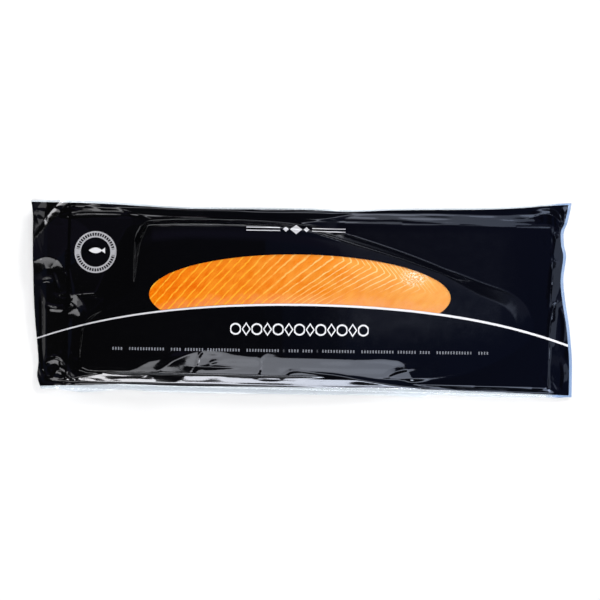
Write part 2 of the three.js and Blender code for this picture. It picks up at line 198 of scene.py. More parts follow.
# %% Outline of the fish
BACK_EDGE = [(-239, -80), (-238, -54), (-234, -25), (-220, 5), (-204.5, 39.5), (-194, 61), (-182, 75),
             (-143, 78.5), (-89, 79), (-35.5, 77.5), (7.5, 74), (50.5, 64.5), (104.5, 49), (147.5, 34.5),
             (190.5, 21), (223, 10), (242, -6), (249.5, -27)]
BELLY_EDGE = [(-239, -80), (-230, -84.5), (-205, -85.5), (-162, -85.5), (-108, -86.5), (-22.5, -87.5),
              (52.5, -88), (128, -88.5), (165, -83), (192, -74), (213.5, -64), (235, -52), (246.5, -42),
              (249.5, -27)]

back_edge = smooth_line(BACK_EDGE, 200)
belly_edge = smooth_line(BELLY_EDGE, 200)
fish_outline = np.vstack([back_edge[::3], belly_edge[::-3]])
print("fish:", round(back_edge[-1, 0] - back_edge[0, 0]), "mm long")

# %% [markdown]
# Across the fish, the flesh rises from the belly to a ridge near the back and falls steeply behind it. The
# outermost flesh bends down at the belly, and near the outline it thins out to a wall. That wall is wide at
# the head end and at the tail, where the fish tapers.

# %% Thickness of the fish
FISH_FLOOR = CARD_TOP + FILM_GAP
THICKNESS = [(-240, 4), (-215, 13), (-190, 22), (-160, 29), (-120, 32), (-40, 32), (40, 27), (110, 19),
             (180, 9.5), (215, 4.4), (250, 0.6)]
BELLY_THICKNESS = [(-240, 3), (-200, 7.4), (-150, 9.5), (-20, 9.5), (50, 7.4), (110, 2.8), (140, 0.2),
                   (250, 0)]
RIDGE = [(-240, 0.97), (-150, 0.98), (0, 0.98), (60, 0.96), (250, 0.95)]
RISE_SLOPE = 0.145
BEND_LINE = [(-240, -90), (-196, -87), (-162, -71.6), (-98, -58), (-55, -64.7), (104, -67), (112, -72),
             (122, -90), (260, -90)]
BEND_SLOPE = 0.13
SHOULDER = {"reach": 34, "share": 0.25, "round": 0.0036}
BACK_SLOPE = [(-30, 0.5), (30, 2.2)]
EDGE_WIDTH, CUT_EDGE = 2.4, 1.2
SIDE_WALL, SIDE_WALL_FROM = [(-240, 38), (-180, 34), (-166, 0), (250, 0)], (-40, 10)
TAIL_WALL, TAIL_WALL_FROM = [(140, 0), (190, 12), (250, 18)], (-62, -30)


def fish_thickness(x, y):
    """Thickness of the fish over a point of the card."""
    low = np.interp(x, *belly_edge.T)
    high = np.interp(x, *back_edge.T)
    ridge = low + (high - low) * table_at(RIDGE, x)
    at_belly = table_at(BELLY_THICKNESS, x)
    full = np.minimum(table_at(THICKNESS, x), at_belly + RISE_SLOPE * (ridge - low))
    rise = np.clip((y - low) / np.maximum(ridge - low, 1e-6), 0, 1)
    height = at_belly + (full - at_belly) * rise
    height -= BEND_SLOPE * np.maximum(table_at(BEND_LINE, x) - y, 0)
    reach = np.minimum(SHOULDER["reach"], (ridge - low) * SHOULDER["share"])
    height -= SHOULDER["round"] * np.clip(y - ridge + reach, 0, reach) ** 2
    height -= table_at(BACK_SLOPE, x) * np.maximum(y - ridge, 0)
    inside = (x > back_edge[0, 0]) & (x < back_edge[-1, 0]) & (y > low) & (y < high)
    away, _, _ = distance_to_line(x, y, fish_outline)
    away = np.where(inside, away, -away)
    wall_width = EDGE_WIDTH + table_at(SIDE_WALL, x) * smooth_step(*SIDE_WALL_FROM, y)
    wall_width = wall_width + table_at(TAIL_WALL, x) * smooth_step(*TAIL_WALL_FROM, y)
    return np.maximum(height, 0) * np.clip((away + CUT_EDGE) / (wall_width + CUT_EDGE), 0, 1)


middle_line = fish_thickness(np.full(9, -60.0), np.linspace(-80, 75, 9))
print("fish across its middle, belly to back:", middle_line.round(1).tolist())

# %% [markdown]
# ## The pouch's outer edge
# The pouch is two films welded together all round. Cut film is never quite straight: each side is a slow
# curve of its own, so each gets its own line, from the lower left corner round to the upper right one.

# %% The four sides
RIM_LEFT = [(-279.5, -102), (-283.5, -88), (-282.5, -70), (-286.5, -28), (-288.5, 4), (-289.7, 47),
            (-290.2, 83), (-292.5, 100.5)]
RIM_RIGHT = [(292, -103.5), (292, -68), (290.5, -47), (288, -25.5), (283.5, 1), (281.5, 23), (284, 47.5),
             (281.5, 60), (281, 74), (284.5, 83), (287.5, 96), (289, 105.5)]
RIM_BOTTOM = [(-279.5, -102), (-263, -102), (-242.5, -104.6), (-230, -105), (-189, -102), (-153, -103.7),
              (-81, -104.4), (17.5, -104.5), (84, -104), (129, -105.4), (143, -102.8), (209, -104.4),
              (275, -104), (292, -103.5)]
RIM_TOP = [(-292.5, 100.5), (-224, 100.5), (-175.5, 98), (-121.5, 95.5), (-3.5, 96), (50, 94.6),
           (104, 97), (190, 98.8), (233, 101), (259.5, 103.5), (289, 105.5)]
print("pouch:", RIM_RIGHT[0][0] - RIM_TOP[0][0], "mm long,", RIM_TOP[-1][1] - RIM_BOTTOM[3][1], "mm wide")

# %% [markdown]
# Off the card the two films close together, and the stiff weld at the edge stands up a little. Each side has
# a profile of its own: the height of the upper film by the distance from the card. How steep a profile is
# decides which part of the room it mirrors, and so whether it shows as black, grey or white. The profile of
# the back side is stretched towards the right end, where the weld lies further off. Near a corner two
# profiles are blended, each weighted by how far the point lies past its side.

# %% Profiles of the rim
RIM_PROFILE = {
    "left": [(0, 2.6), (1.5, 1.2), (5, 0.9), (14, 1.0), (24, 1.5), (28, 2), (34, 3.6), (40, 5.2)],
    "right": [(0, 2.6), (1.0, 2.2), (6, 1.7), (14, 1.1), (24, 0.9)],
    "top": [(0, 2.6), (1.2, 2.6), (7.2, 1.3), (9.3, 0.65), (9.8, 0.65), (12, 1.0), (20, 1.6)],
    "bottom": [(0, 2.6), (1, 2.3), (5.4, 0.8), (6.5, 0.7), (8.5, 1.1), (14, 4.0)],
}
TOP_STRETCH = [(20, 1), (105, 1.18), (250, 1.45)]
SIDE_BLEND, BLEND_LIMIT = 5, 30


def rim_height(x, y):
    """Height of the upper film off the card."""
    cx, cy = card_axes(x, y)
    half_x, half_y = CARD["length"] / 2, CARD["width"] / 2
    past = {"left": -cx - half_x, "right": cx - half_x, "bottom": -cy - half_y}
    past["top"] = (cy - half_y) / table_at(TOP_STRETCH, x)
    height, weight = 0, 0
    for side, away in past.items():
        pull = np.exp(np.clip(away / SIDE_BLEND, -BLEND_LIMIT, BLEND_LIMIT))
        height = height + pull * table_at(RIM_PROFILE[side], np.maximum(away, 0))
        weight = weight + pull
    return height / weight


print("film 10 mm past the card's front side:", round(float(rim_height(0, -101)), 2), "mm")

# %% [markdown]
# ## A smooth random field
# Film never lies perfectly even. A smooth random field gives it slow swells and fine ripples: random values
# on a coarse lattice, joined by soft steps. Blender's noise textures would do, but here the same numbers
# shape the mesh itself. A fixed seed makes them the same every time.

# %% Soft noise
LATTICE = 64
LATTICE_START = (31.7, 27.3)


def soft_noise(x, y, cell, seed):
    """Random swells between -1 and 1. cell gives their size along x and y."""
    lattice = np.random.default_rng(seed).uniform(-1, 1, (LATTICE, LATTICE))
    fx, fy = np.asarray(x) / cell[0] + LATTICE_START[0], np.asarray(y) / cell[1] + LATTICE_START[1]
    ix, iy = np.floor(fx).astype(int), np.floor(fy).astype(int)
    ax, ay = fx - ix, fy - iy
    ax, ay = [a * a * a * (a * (6 * a - 15) + 10) for a in (ax, ay)]

    def corner(i, j):
        return lattice[(ix + i) % LATTICE, (iy + j) % LATTICE]

    near = corner(0, 0) * (1 - ax) + corner(1, 0) * ax
    far = corner(0, 1) * (1 - ax) + corner(1, 1) * ax
    return near * (1 - ay) + far * ay


print("soft noise along a line:", soft_noise(np.arange(5) * 4.0, np.zeros(5), (10, 10), 3).round(2).tolist())

# %% [markdown]
# ## Walls along the long sides
# Along the two long sides the fish almost reaches the card's edge. There the film spans straight from the
# fish down to the weld, as a wall. It starts at a foot off the card, which wanders a little, and rises in
# two slopes. The wall on the belly side makes the broad grey band of that side, so its slopes matter most.

# %% Walls of film
WELD_HEIGHT = 0.7
BELLY_WALL = {
    "foot": 5.6, "slope": 0.72, "bend": 6.4, "upper_slope": 0.5, "wander": 0.25,
    "height": [(-255, 0), (-238, 4), (-200, 8.4), (-150, 11.5), (-20, 11.5), (50, 8.4), (90, 3.6),
               (125, 1.6), (175, 0)],
}
BACK_WALL = {
    "foot": 9.5, "slope": 0.55, "bend": 30, "upper_slope": 0.55, "wander": 0.9,
    "height": [(-190, 0), (-160, 8), (-20, 8), (20, 5), (50, 0)],
}
WALL_BLEND = np.linspace(-18, 18, 7)
WANDER_SIZE, WANDER_SEED = (38, 10), 3


def wall(x, away, shape):
    """A ramp of two slopes from its foot, off the card, up towards the fish."""
    foot = shape["foot"] + shape["wander"] * soft_noise(x, 0 * x, WANDER_SIZE, WANDER_SEED)
    rise = (foot - away) * shape["slope"]
    upper = shape["bend"] + (rise - shape["bend"]) * shape["upper_slope"] / shape["slope"]
    height = sum(table_at(shape["height"], x + shift) for shift in WALL_BLEND) / len(WALL_BLEND)
    return WELD_HEIGHT + np.clip(np.minimum(rise, upper), 0, height)


print("belly wall over the card's edge:", round(float(wall(-100.0, 0.0, BELLY_WALL)), 2), "mm")

# %% [markdown]
# ## Drawing the film down
# The vacuum presses the film onto whatever is under it, and the film's own tension lets it bridge sharp
# steps. A cloth simulation could find that shape, but it takes long and is hard to steer. So the film
# settles on a raster instead: each point takes the mean of its neighbours less a small pull, but never
# sinks below what lies under it. After enough rounds the sheet has settled.

# %% What the film lies on
CELL = 0.75
raster_x = np.arange(-300, 300 + CELL, CELL)
raster_y = np.arange(-115, 115 + CELL, CELL)
grid_x, grid_y = np.meshgrid(raster_x, raster_y, indexing="ij")
_, card_y = card_axes(grid_x, grid_y)
past_card = np.abs(card_y) - CARD["width"] / 2

on_card = CARD_TOP + np.maximum(fish_thickness(grid_x, grid_y) + FILM_GAP, 0) + FILM_GAP
under_film = np.where(outside_card(grid_x, grid_y) > 0, rim_height(grid_x, grid_y), on_card)
under_film = np.maximum(under_film, wall(grid_x, past_card, BELLY_WALL) * (card_y < 0))
under_film = np.maximum(under_film, wall(grid_x, past_card, BACK_WALL) * (card_y > 0))
print("raster of", under_film.shape, "points, up to", round(under_film.max(), 1), "mm")

# %% Settled film
PULL = 0.12
ROUNDS = 300
SMOOTHING_ROUNDS = 2


def around(field):
    """The sum of the four neighbours of each inner point."""
    return field[:-2, 1:-1] + field[2:, 1:-1] + field[1:-1, :-2] + field[1:-1, 2:]


settled = under_film.copy()
for _ in range(ROUNDS):
    settled[1:-1, 1:-1] = np.maximum(under_film[1:-1, 1:-1], around(settled) / 4 - PULL)
for _ in range(SMOOTHING_ROUNDS):
    settled[1:-1, 1:-1] = settled[1:-1, 1:-1] / 2 + around(settled) / 8
print("film stands up to", round(settled.max(), 1), "mm")

# %% [markdown]
# Gloss shows the smallest kink, so between the points of the raster the height is read along smooth curves,
# through four points each way, and not along straight lines.

# %% Height between the raster's points
def cubic_weights(t):
    """How much each of four neighbours in a row counts, for a point between the middle two."""
    return (
        ((-t + 2) * t - 1) * t / 2,
        ((3 * t - 5) * t * t + 2) / 2,
        ((-3 * t + 4) * t + 1) * t / 2,
        (t - 1) * t * t / 2,
    )


def settled_height(x, y):
    """The settled film at any point."""
    fx, fy = (x - raster_x[0]) / CELL, (y - raster_y[0]) / CELL
    ix = np.clip(np.floor(fx).astype(int), 1, len(raster_x) - 3)
    iy = np.clip(np.floor(fy).astype(int), 1, len(raster_y) - 3)
    wx, wy = cubic_weights(fx - ix), cubic_weights(fy - iy)
    return sum(wx[i] * wy[j] * settled[ix + i - 1, iy + j - 1] for i in range(4) for j in range(4))


print("film over the middle:", round(float(settled_height(0.0, 0.0)), 2), "mm")

# %% [markdown]
# ## The sheet as a grid
# One grid, stretched between the four sides, carries the upper film. A subdivided plane cut to the outline
# would have ragged edges, while here the outermost line of the grid is the cut edge itself. The lines lie
# close together at the rim, where the folds are, and further apart over the smooth middle.

# %% Grid between four sides
LENGTH_LINES = [(0.075, 54), (0.93, 395), (1, 50)]
WIDTH_LINES = [(0.15, 40), (0.3, 25), (0.86, 82), (1, 38)]


def grid_lines(steps):
    """Places from 0 to 1, as (end of a stretch, number of cells in it)."""
    at = [0.0]
    for end, count in steps:
        at += list(np.linspace(at[-1], end, count + 1)[1:])
    return np.array(at)


def between_sides(u, v):
    """Points of a grid stretched between the four sides of the pouch."""
    left, right = smooth_line(RIM_LEFT, v), smooth_line(RIM_RIGHT, v)
    bottom, top = smooth_line(RIM_BOTTOM, u), smooth_line(RIM_TOP, u)
    u, v = u[:, None, None], v[None, :, None]
    corners = (1 - u) * (1 - v) * bottom[0] + u * (1 - v) * bottom[-1]
    corners = corners + (1 - u) * v * top[0] + u * v * top[-1]
    return (1 - v) * bottom[:, None] + v * top[:, None] + (1 - u) * left[None] + u * right[None] - corners


sheet = between_sides(grid_lines(LENGTH_LINES), grid_lines(WIDTH_LINES))
print("film grid:", sheet.shape[:2], "points")

# %% [markdown]
# ## Where the print ends
# The print leaves out the window, and stops a little inside the cut edge, where the film stays clear. The
# window is an ellipse, cut off below by a long printed line that sweeps across the whole pack. Each border
# is a function that is above zero on one side and below zero on the other. The line's own height is written
# with plus and times alone, so that a material can use the same function later.

# %% The window and the long line
WINDOW = {"x": -1.8, "y": 1.3, "half_length": 161.4, "half_width": 44.3}
LINE = {"x": 1, "top": -8.0, "bend": 3.58, "far_bend": 0.161, "half_width": 1.2}


def line_height(x):
    """The long printed line: nearly an arc, that bends more towards the ends. x may be a shader value."""
    part = (x - LINE["x"]) * 0.01
    square = part * part
    return square * (square * LINE["far_bend"] + LINE["bend"]) * -1 + LINE["top"]


def inside_window(x, y):
    """Above zero inside the clear window."""
    along, across = (x - WINDOW["x"]) / WINDOW["half_length"], (y - WINDOW["y"]) / WINDOW["half_width"]
    ellipse = (1 - np.hypot(along, across)) * WINDOW["half_width"]
    return np.minimum(ellipse, y - line_height(x) - LINE["half_width"])


print("the long line falls from", LINE["top"], "to", round(line_height(290), 1), "mm at the right end")

# %% The clear margins
PRINT_BOTTOM = [(-300, -99.5), (-275, -98.9), (-235, -97.5), (-190, -95.8), (-131, -97.2), (0, -96.7),
                (105, -96.3), (169, -98.1), (212, -99.1), (255, -100.6), (300, -102)]
PRINT_TOP_INSET = [(-300, 1.6), (-220, 2.4), (-150, 1.6), (300, 1.7)]
PRINT_RIGHT_INSET = 3.1

rim_top, rim_right = smooth_line(RIM_TOP, 200), smooth_line(RIM_RIGHT, 200)


def inside_print(x, y):
    """Above zero where the film is printed, below zero on its clear margins."""
    above_bottom = y - table_at(PRINT_BOTTOM, x)
    below_top = np.interp(x, *rim_top.T) - table_at(PRINT_TOP_INSET, x) - y
    before_right = np.interp(y, rim_right[:, 1], rim_right[:, 0]) - PRINT_RIGHT_INSET - x
    return np.minimum(np.minimum(above_bottom, below_top), before_right)


print("clear margin at the front:", round(float(table_at(PRINT_BOTTOM, 0) - RIM_BOTTOM[7][1]), 1), "mm")

# %% [markdown]
# ## Cutting a sheet along a curve
# The grid doesn't follow those borders. A Boolean cut would leave slivers that spoil the gloss, and a mask
# in the material would keep both films in one piece. So the grid points nearest to a border are moved onto
# it, and the cells are then sorted to either side.

# %% Move points onto a border
def snap_to_curve(sheet, inside):
    """Moves grid points onto the curve where inside() is zero. Returns the sheet and each point's sign."""
    value = inside(sheet[..., 0], sheet[..., 1])
    moved = sheet.copy()
    shift = np.full(value.shape, np.inf)
    for axis in (0, 1):
        near = [slice(None), slice(None)]
        far = [slice(None), slice(None)]
        near[axis], far[axis] = slice(None, -1), slice(1, None)
        near, far = tuple(near), tuple(far)
        crossing = value[near] * value[far] < 0
        part = np.where(crossing, value[near] / np.where(crossing, value[near] - value[far], 1), 0)
        target = sheet[near] + (sheet[far] - sheet[near]) * part[..., None]
        for end, is_end in ((near, part <= 0.5), (far, part > 0.5)):
            reach = np.linalg.norm(target - sheet[end], axis=-1)
            better = crossing & is_end & (reach < shift[end])
            moved[end] = np.where(better[..., None], target, moved[end])
            shift[end] = np.where(better, reach, shift[end])
    sign = np.where(np.isfinite(shift), 0, np.sign(value))
    return moved, sign


front, window_sign = snap_to_curve(sheet, inside_window)
front, print_sign = snap_to_curve(front, inside_print)
print("on the window's border:", int((window_sign == 0).sum()), "points")

# %% [markdown]
# A cell with corners on both sides of a border touches it at two opposite corners, so it is split there into
# two triangles, one for each side.

# %% Sort the cells
def all_quads(count_u, count_v):
    """The cells of a grid, each as the numbers of its four corners."""
    number = np.arange(count_u * count_v).reshape(count_u, count_v)
    return np.stack([number[:-1, :-1], number[1:, :-1], number[1:, 1:], number[:-1, 1:]], -1).reshape(-1, 4)


def sort_faces(faces, sign):
    """Sorts (quads, triangles) to the inside and the outside of a snapped curve."""
    sides = {True: [], False: []}
    cut = []
    for polygons in faces:
        signs = sign.reshape(-1)[polygons]
        is_in, is_out = (signs > 0).any(1), (signs < 0).any(1)
        sides[True].append(polygons[is_in & ~is_out])
        sides[False].append(polygons[~is_in])
        cut.append(polygons[is_in & is_out])
    halves = {True: [], False: []}
    for corners in cut[0]:
        turn = 0 if sign.reshape(-1)[corners[0]] == 0 else 1
        ring = np.roll(corners, -turn)
        for triangle in (ring[[0, 1, 2]], ring[[2, 3, 0]]):
            halves[sign.reshape(-1)[triangle[1]] > 0].append(triangle)
    for side, triangles in halves.items():
        if triangles:
            sides[side][1] = np.vstack([sides[side][1], triangles])
    return sides[True], sides[False]


whole = [all_quads(*sheet.shape[:2]), np.empty((0, 3), int)]
window_faces, round_window = sort_faces(whole, window_sign)
print_faces, margin_faces = sort_faces(round_window, print_sign)
for part_name, faces in (("window", window_faces), ("print", print_faces), ("margin", margin_faces)):
    print(part_name, "quads and triangles:", [len(polygons) for polygons in faces])

# %% [markdown]
# ## Folds
# Where the film has nothing to lie on, it gathers. The real folds come from the weld pulling on the sheet.
# Sculpting them by hand would be free but hard to change, so each fold is a ridge along a line: points with
# a height, and a run-out to the left and to the right of the line, seen from its first point. A fold with a
# long run-out on one side is a slanting plane, and how much it slants decides what it mirrors.

# %% Folds of the two ends and the back side's rim
END_FOLDS = [
    # left end, from the back side to the front
    {"line": [(-258, 104, 3.4), (-272, 88, 3.5), (-285, 70, 3.2), (-297, 52, 2.6)], "left": 9.5, "right": 14},
    {"line": [(-267, 88, 0.3), (-254, 94, 2.0), (-238, 95.5, 2.2), (-222, 93, 1.0), (-205, 91, 0.2)],
     "left": 4, "right": 8},
    {"line": [(-265, 76, 0.2), (-258, 58, 0.6), (-253, 35, 0.7), (-249, 15, 0.7), (-247, -2, 0.4)],
     "left": 3, "right": 3},
    {"line": [(-292, 34, 2.0), (-277, 40, 3.5), (-264, 37, 3.4), (-255, 26, 0.4)], "left": 46, "right": 14},
    {"line": [(-268, 26, 0.2), (-265, 14, 1.0), (-262, 6, 0.2)], "left": 2.5, "right": 3},
    {"line": [(-283, 13, 0.2), (-275, 14.5, 1.2), (-266, 15, 0.2)], "left": 4, "right": 3.5},
    {"line": [(-260, 26, 0.2), (-255, 22, 1.0), (-252, 14, 0.2)], "left": 3, "right": 4},
    {"line": [(-276, -12, 0.2), (-268, -15.5, 1.5), (-258, -15.5, 1.2), (-252, -11, 0.2)],
     "left": 3, "right": 4.5},
    {"line": [(-254, -5, 0.3), (-248, -8, 3.4), (-241, -15, 2.9), (-238, -24, 0.6)], "left": 8, "right": 17},
    {"line": [(-246, -26, 0.4), (-251, -34, 1.0), (-252, -50, 1.0), (-255, -72, 0.5)],
     "left": 4.5, "right": 4},
    {"line": [(-281, 0, 0.3), (-280, -8, 1.6), (-279.5, -30, 1.7), (-279, -58, 1.5), (-277, -80, 0.4)],
     "left": 4, "right": 3},
    {"line": [(-278, -76, 0.2), (-267, -70, 1.7), (-258, -73, 1.5), (-250, -84, 0.3)], "left": 3, "right": 5},
    {"line": [(-268, -94, 0.3), (-262, -82, 2), (-252, -86, 1.8), (-238, -96, 0.2)], "left": 4, "right": 6},
    # weld of the back side
    {"line": [(-62, 95, 0.2), (-35, 95.5, 1.2), (30, 94.5, 1.2), (48, 94, 0.1)], "left": 5, "right": 4.6},
    # right end, from the back side to the front
    {"line": [(248, 90.5, 0.3), (258, 93, 2.6), (269, 92, 2.8), (278, 84, 0.6)], "left": 6, "right": 10},
    {"line": [(291, 104, 0.5), (282, 96, 1.8), (280, 84, 1.6), (272, 76, 0.3)], "left": 5, "right": 5},
    {"line": [(269, 74, 0.2), (272, 66, 2.0), (270, 50, 1.0), (271, 44, 0.6)], "left": 14, "right": 3},
    {"line": [(270, 44, 0.6), (269, 34, 2.2), (268, 18, 2.1), (266, 4, 0.3)], "left": 13, "right": 3},
    {"line": [(280, 0, 0.2), (271, -6, 1.7), (268, -20, 1.6), (267, -36, 0.2)], "left": 7, "right": 2.5},
    {"line": [(277, -6, 0.2), (282, -18, 1.5), (283, -34, 1.4), (281, -50, 0.2)], "left": 6, "right": 3},
    {"line": [(281, -66, 0.2), (283, -78, 1.3), (282, -92, 0.2)], "left": 5, "right": 3},
]
print("folds at the ends:", len(END_FOLDS))

# %% [markdown]
# Shallower creases run over the fish itself: slanting ones in the wall on the belly side, and long ones
# along its back, where the film comes off the ridge.

# %% Folds along the fish
BELLY_FOLDS = [
    {"line": [(-160, -84, 0.1), (-150, -79, 1.2), (-134, -69, 1.7), (-120, -62, 1.3), (-104, -57, 0.2)],
     "left": 8, "right": 20},
    {"line": [(-118, -84, 0.1), (-112, -74, 1.0), (-109, -63, 1.2), (-102, -55, 0.1)], "left": 5, "right": 4},
    {"line": [(-101, -77, 0.1), (-95, -71, 0.6), (-86, -69, 0.1)], "left": 4, "right": 3},
    {"line": [(-48, -86, 0.1), (-44, -78, 0.7), (-43, -66, 0.5), (-36, -60, 0.1)], "left": 4, "right": 3},
    {"line": [(-20, -86, 0.1), (-12, -80, 0.4), (-2, -79, 0.1)], "left": 3, "right": 3},
    {"line": [(92, -84, 0.1), (104, -78, 0.6), (124, -74, 0.1)], "left": 5, "right": 3},
    {"line": [(60, -66, 0.1), (90, -64.5, 0.4), (118, -69, 0.1)], "left": 3, "right": 6},
]
BACK_FOLDS = [
    {"line": [(-262, 84, 0.3), (-240, 88, 1.0), (-200, 88, 0.9), (-150, 86, 0.7), (-95, 85, 0.5),
              (-60, 85, 0.1)],
     "left": 8, "right": 2.5},
    {"line": [(-262, 83, 0.3), (-235, 86, 0.8), (-190, 86.5, 0.6), (-130, 86.5, 0.2)],
     "left": 2, "right": 3},
    {"line": [(-112, 82, 0.1), (-80, 79, 0.9), (-40, 75, 1.2), (10, 70, 1.0), (45, 62, 0.2)],
     "left": 2.5, "right": 5},
    {"line": [(112, 44.5, 0.1), (124, 40.5, 0.5), (135, 36, 0.1)], "left": 2, "right": 2},
    {"line": [(147, 32, 0.1), (165, 27.5, 0.45), (188, 20, 0.1)], "left": 2, "right": 2},
]
CREASE_POINTS = 20
CREASE_ROUND = 0.35


def folds_height(x, y):
    """Height that the highest fold adds at each point."""
    total = np.zeros(np.shape(x))
    for fold in END_FOLDS + BELLY_FOLDS + BACK_FOLDS:
        points = np.array(fold["line"], float)
        line = smooth_line(points[:, :2], CREASE_POINTS)
        length = np.concatenate([[0], np.cumsum(np.hypot(*np.diff(points[:, :2], axis=0).T))])
        away, along, side = distance_to_line(x, y, line)
        height = np.interp(along, length / length[-1], points[:, 2])
        reach = np.where(side > 0, fold["left"], fold["right"])
        part = np.clip(1 - away / reach, 0, 1)
        total = np.maximum(total, height * (part + CREASE_ROUND * part * part * (part - 1)))
    return total


print("folds stand up to", round(folds_height(grid_x[::4, ::4], grid_y[::4, ::4]).max(), 1), "mm")

# %% [markdown]
# ## Ripples
# Finer unevenness has no lines of its own, so it comes from soft noise. Streaks run along the weld of the
# back side, gathers lean across the front one, waves cross the right end, and the corners, where two gathers
# meet, are crumpled. Each kind has a size along and across the pack, a lean, and a height outside and
# within the zone where it is strongest.

# %% Kinds of ripple
RIPPLES = {
    "streaks": {"size": (60, 2.6), "lean": 0, "height": (0.12, 0.32), "seed": 5},
    "slants": {"size": (26, 3.4), "lean": 2, "height": (0.12, 0.12), "seed": 6},
    "gathers": {"size": (15, 4.4), "lean": 1.5, "height": (0, 0.16), "seed": 7},
    "hairlines": {"size": (60, 2.3), "lean": 0, "height": (0.05, 0.05), "seed": 8},
    "waves": {"size": (7, 17), "lean": 0, "height": (0, 0.25), "seed": 9},
    "crumples": {"size": (7, 9), "lean": 0.4, "height": (0.1, 0.4), "seed": 10},
    "swells": {"size": (20, 8), "lean": 0, "height": (0, 0.2), "seed": 11},
}


def ripple(kind, x, y, zone=0, ridged=False):
    """One kind of ripple, as round swells or as sharp ridges. The zone is 1 where it is strongest."""
    shape = RIPPLES[kind]
    outside, within = shape["height"]
    swell = soft_noise(x + shape["lean"] * y, y, shape["size"], shape["seed"])
    return (outside + (within - outside) * zone) * (1 - 2 * np.abs(swell) if ridged else swell)


print("kinds of ripple:", ", ".join(RIPPLES))

# %% [markdown]
# Where each kind is strong depends on the place. The film is loose only past the card's edges, so the ripples
# grow from there, and a pair of places says where each soft step between none and full begins and ends.

# %% Ripples by place
LOOSE_SIDE, LOOSE_END, RIGHT_HALF = (-3, 2), (-3, 4), (0, 20)
STREAK_ZONE, GATHER_ZONE = (160, 60), (-150, -200)
LEFT_END, LEFT_STREAKS = (-238, -256), 0.15
CORNER_ZONE, SIDE_LEAD = (-16, 8), 8
LEFT_CORNER = {"front": (-60, -90), "left": (-200, -240)}
BELLY_ZONE = {"front": (-52, -64), "thick": (110, 80)}


def ripples_height(x, y):
    """Ripples along each side of the pouch, and crumples at its corners."""
    card_x, card_y = card_axes(x, y)
    past_end = np.abs(card_x) - CARD["length"] / 2
    past_side = np.abs(card_y) - CARD["width"] / 2
    loose_side = smooth_step(*LOOSE_SIDE, past_side)
    loose_right = smooth_step(*LOOSE_END, past_end) * smooth_step(*RIGHT_HALF, x)
    corner = smooth_step(*CORNER_ZONE, np.minimum(past_side + SIDE_LEAD, past_end))
    left_corner = smooth_step(*LEFT_CORNER["front"], y) * smooth_step(*LEFT_CORNER["left"], x)
    belly_slope = smooth_step(*BELLY_ZONE["front"], y) * smooth_step(*BELLY_ZONE["thick"], x)
    belly_slope = belly_slope * (1 - loose_side)

    streaks = ripple("streaks", x, y, smooth_step(*STREAK_ZONE, x)) + ripple("slants", x, y)
    streaks = streaks * (1 - (1 - LEFT_STREAKS) * smooth_step(*LEFT_END, x))
    gathers = ripple("gathers", x, y, smooth_step(*GATHER_ZONE, x)) + ripple("hairlines", x, y)
    along_sides = np.where(card_y < 0, gathers, streaks) * loose_side
    crumples = ripple("crumples", x, y, left_corner, ridged=True) * corner
    return along_sides + ripple("waves", x, y, loose_right) + crumples + ripple("swells", x, y, belly_slope)


def film_height(x, y):
    """The upper film at any point: settled, folded and rippled."""
    return settled_height(x, y) + folds_height(x, y) + ripples_height(x, y)


print("ripples stand up to", round(ripples_height(grid_x[::4, ::4], grid_y[::4, ::4]).max(), 2), "mm")

# %% [markdown]
# ## Numbers that vary over a surface
# A procedural finish is arithmetic on the place of a point. In Blender that arithmetic is a tree of nodes,
# one for each sum. Built one by one they are hard to read, so a small class lets them be written as ordinary
# formulas: each plus, minus or times adds a maths node to the tree.

# %% Arithmetic in a material
class Field:
    """A number that varies over a surface, held as the output of a node."""

    def __init__(self, tree, socket):
        self.tree, self.socket = tree, socket

    def math(self, operation, *others, clamp=False):
        node = self.tree.nodes.new("ShaderNodeMath")
        node.operation = operation
        node.use_clamp = clamp
        for slot, value in zip(node.inputs, (self, *others)):
            if isinstance(value, Field):
                self.tree.links.new(value.socket, slot)
            else:
                slot.default_value = value
        return Field(self.tree, node.outputs[0])

    def __add__(self, other):
        return self.math("ADD", other)

    def __sub__(self, other):
        return self.math("SUBTRACT", other)

    def __rsub__(self, other):
        return self * -1 + other

    def __mul__(self, other):
        return self.math("MULTIPLY", other)

    def __truediv__(self, other):
        return self.math("DIVIDE", other)

    def abs(self):
        return self.math("ABSOLUTE")

    def least(self, other):
        return self.math("MINIMUM", other)

    def most(self, other):
        return self.math("MAXIMUM", other)

    def length(self, other):
        return (self * self + other * other).math("SQRT")

    def cell(self, size):
        """Place within the nearest of evenly spaced cells, from minus to plus half a size."""
        return (self / size).math("ROUND") * -size + self

    def edge(self, soft):
        """1 where the number is above zero and 0 below it, with an edge this soft."""
        return (self / soft + 0.5).math("ADD", 0, clamp=True)

    def ramp(self, low, high, out_low=0.0, out_high=1.0):
        """A straight slope between two values of the number, level before and after them."""
        node = self.tree.nodes.new("ShaderNodeMapRange")
        self.tree.links.new(self.socket, node.inputs["Value"])
        for name, value in (("From Min", low), ("From Max", high), ("To Min", out_low), ("To Max", out_high)):
            node.inputs[name].default_value = value
        return Field(self.tree, node.outputs["Result"])


def mix_colours(tree, part, start, end):
    """A colour between two others. Each is a colour or the socket of one."""
    node = tree.nodes.new("ShaderNodeMix")
    node.data_type = "RGBA"
    tree.links.new(part.socket, node.inputs["Factor"])
    for slot, colour in ((node.inputs[6], start), (node.inputs[7], end)):
        if isinstance(colour, tuple):
            slot.default_value = (*colour, 1)
        else:
            tree.links.new(colour, slot)
    return node.outputs[2]


print("a field can do:", ", ".join(name for name in vars(Field) if not name.startswith("_")))

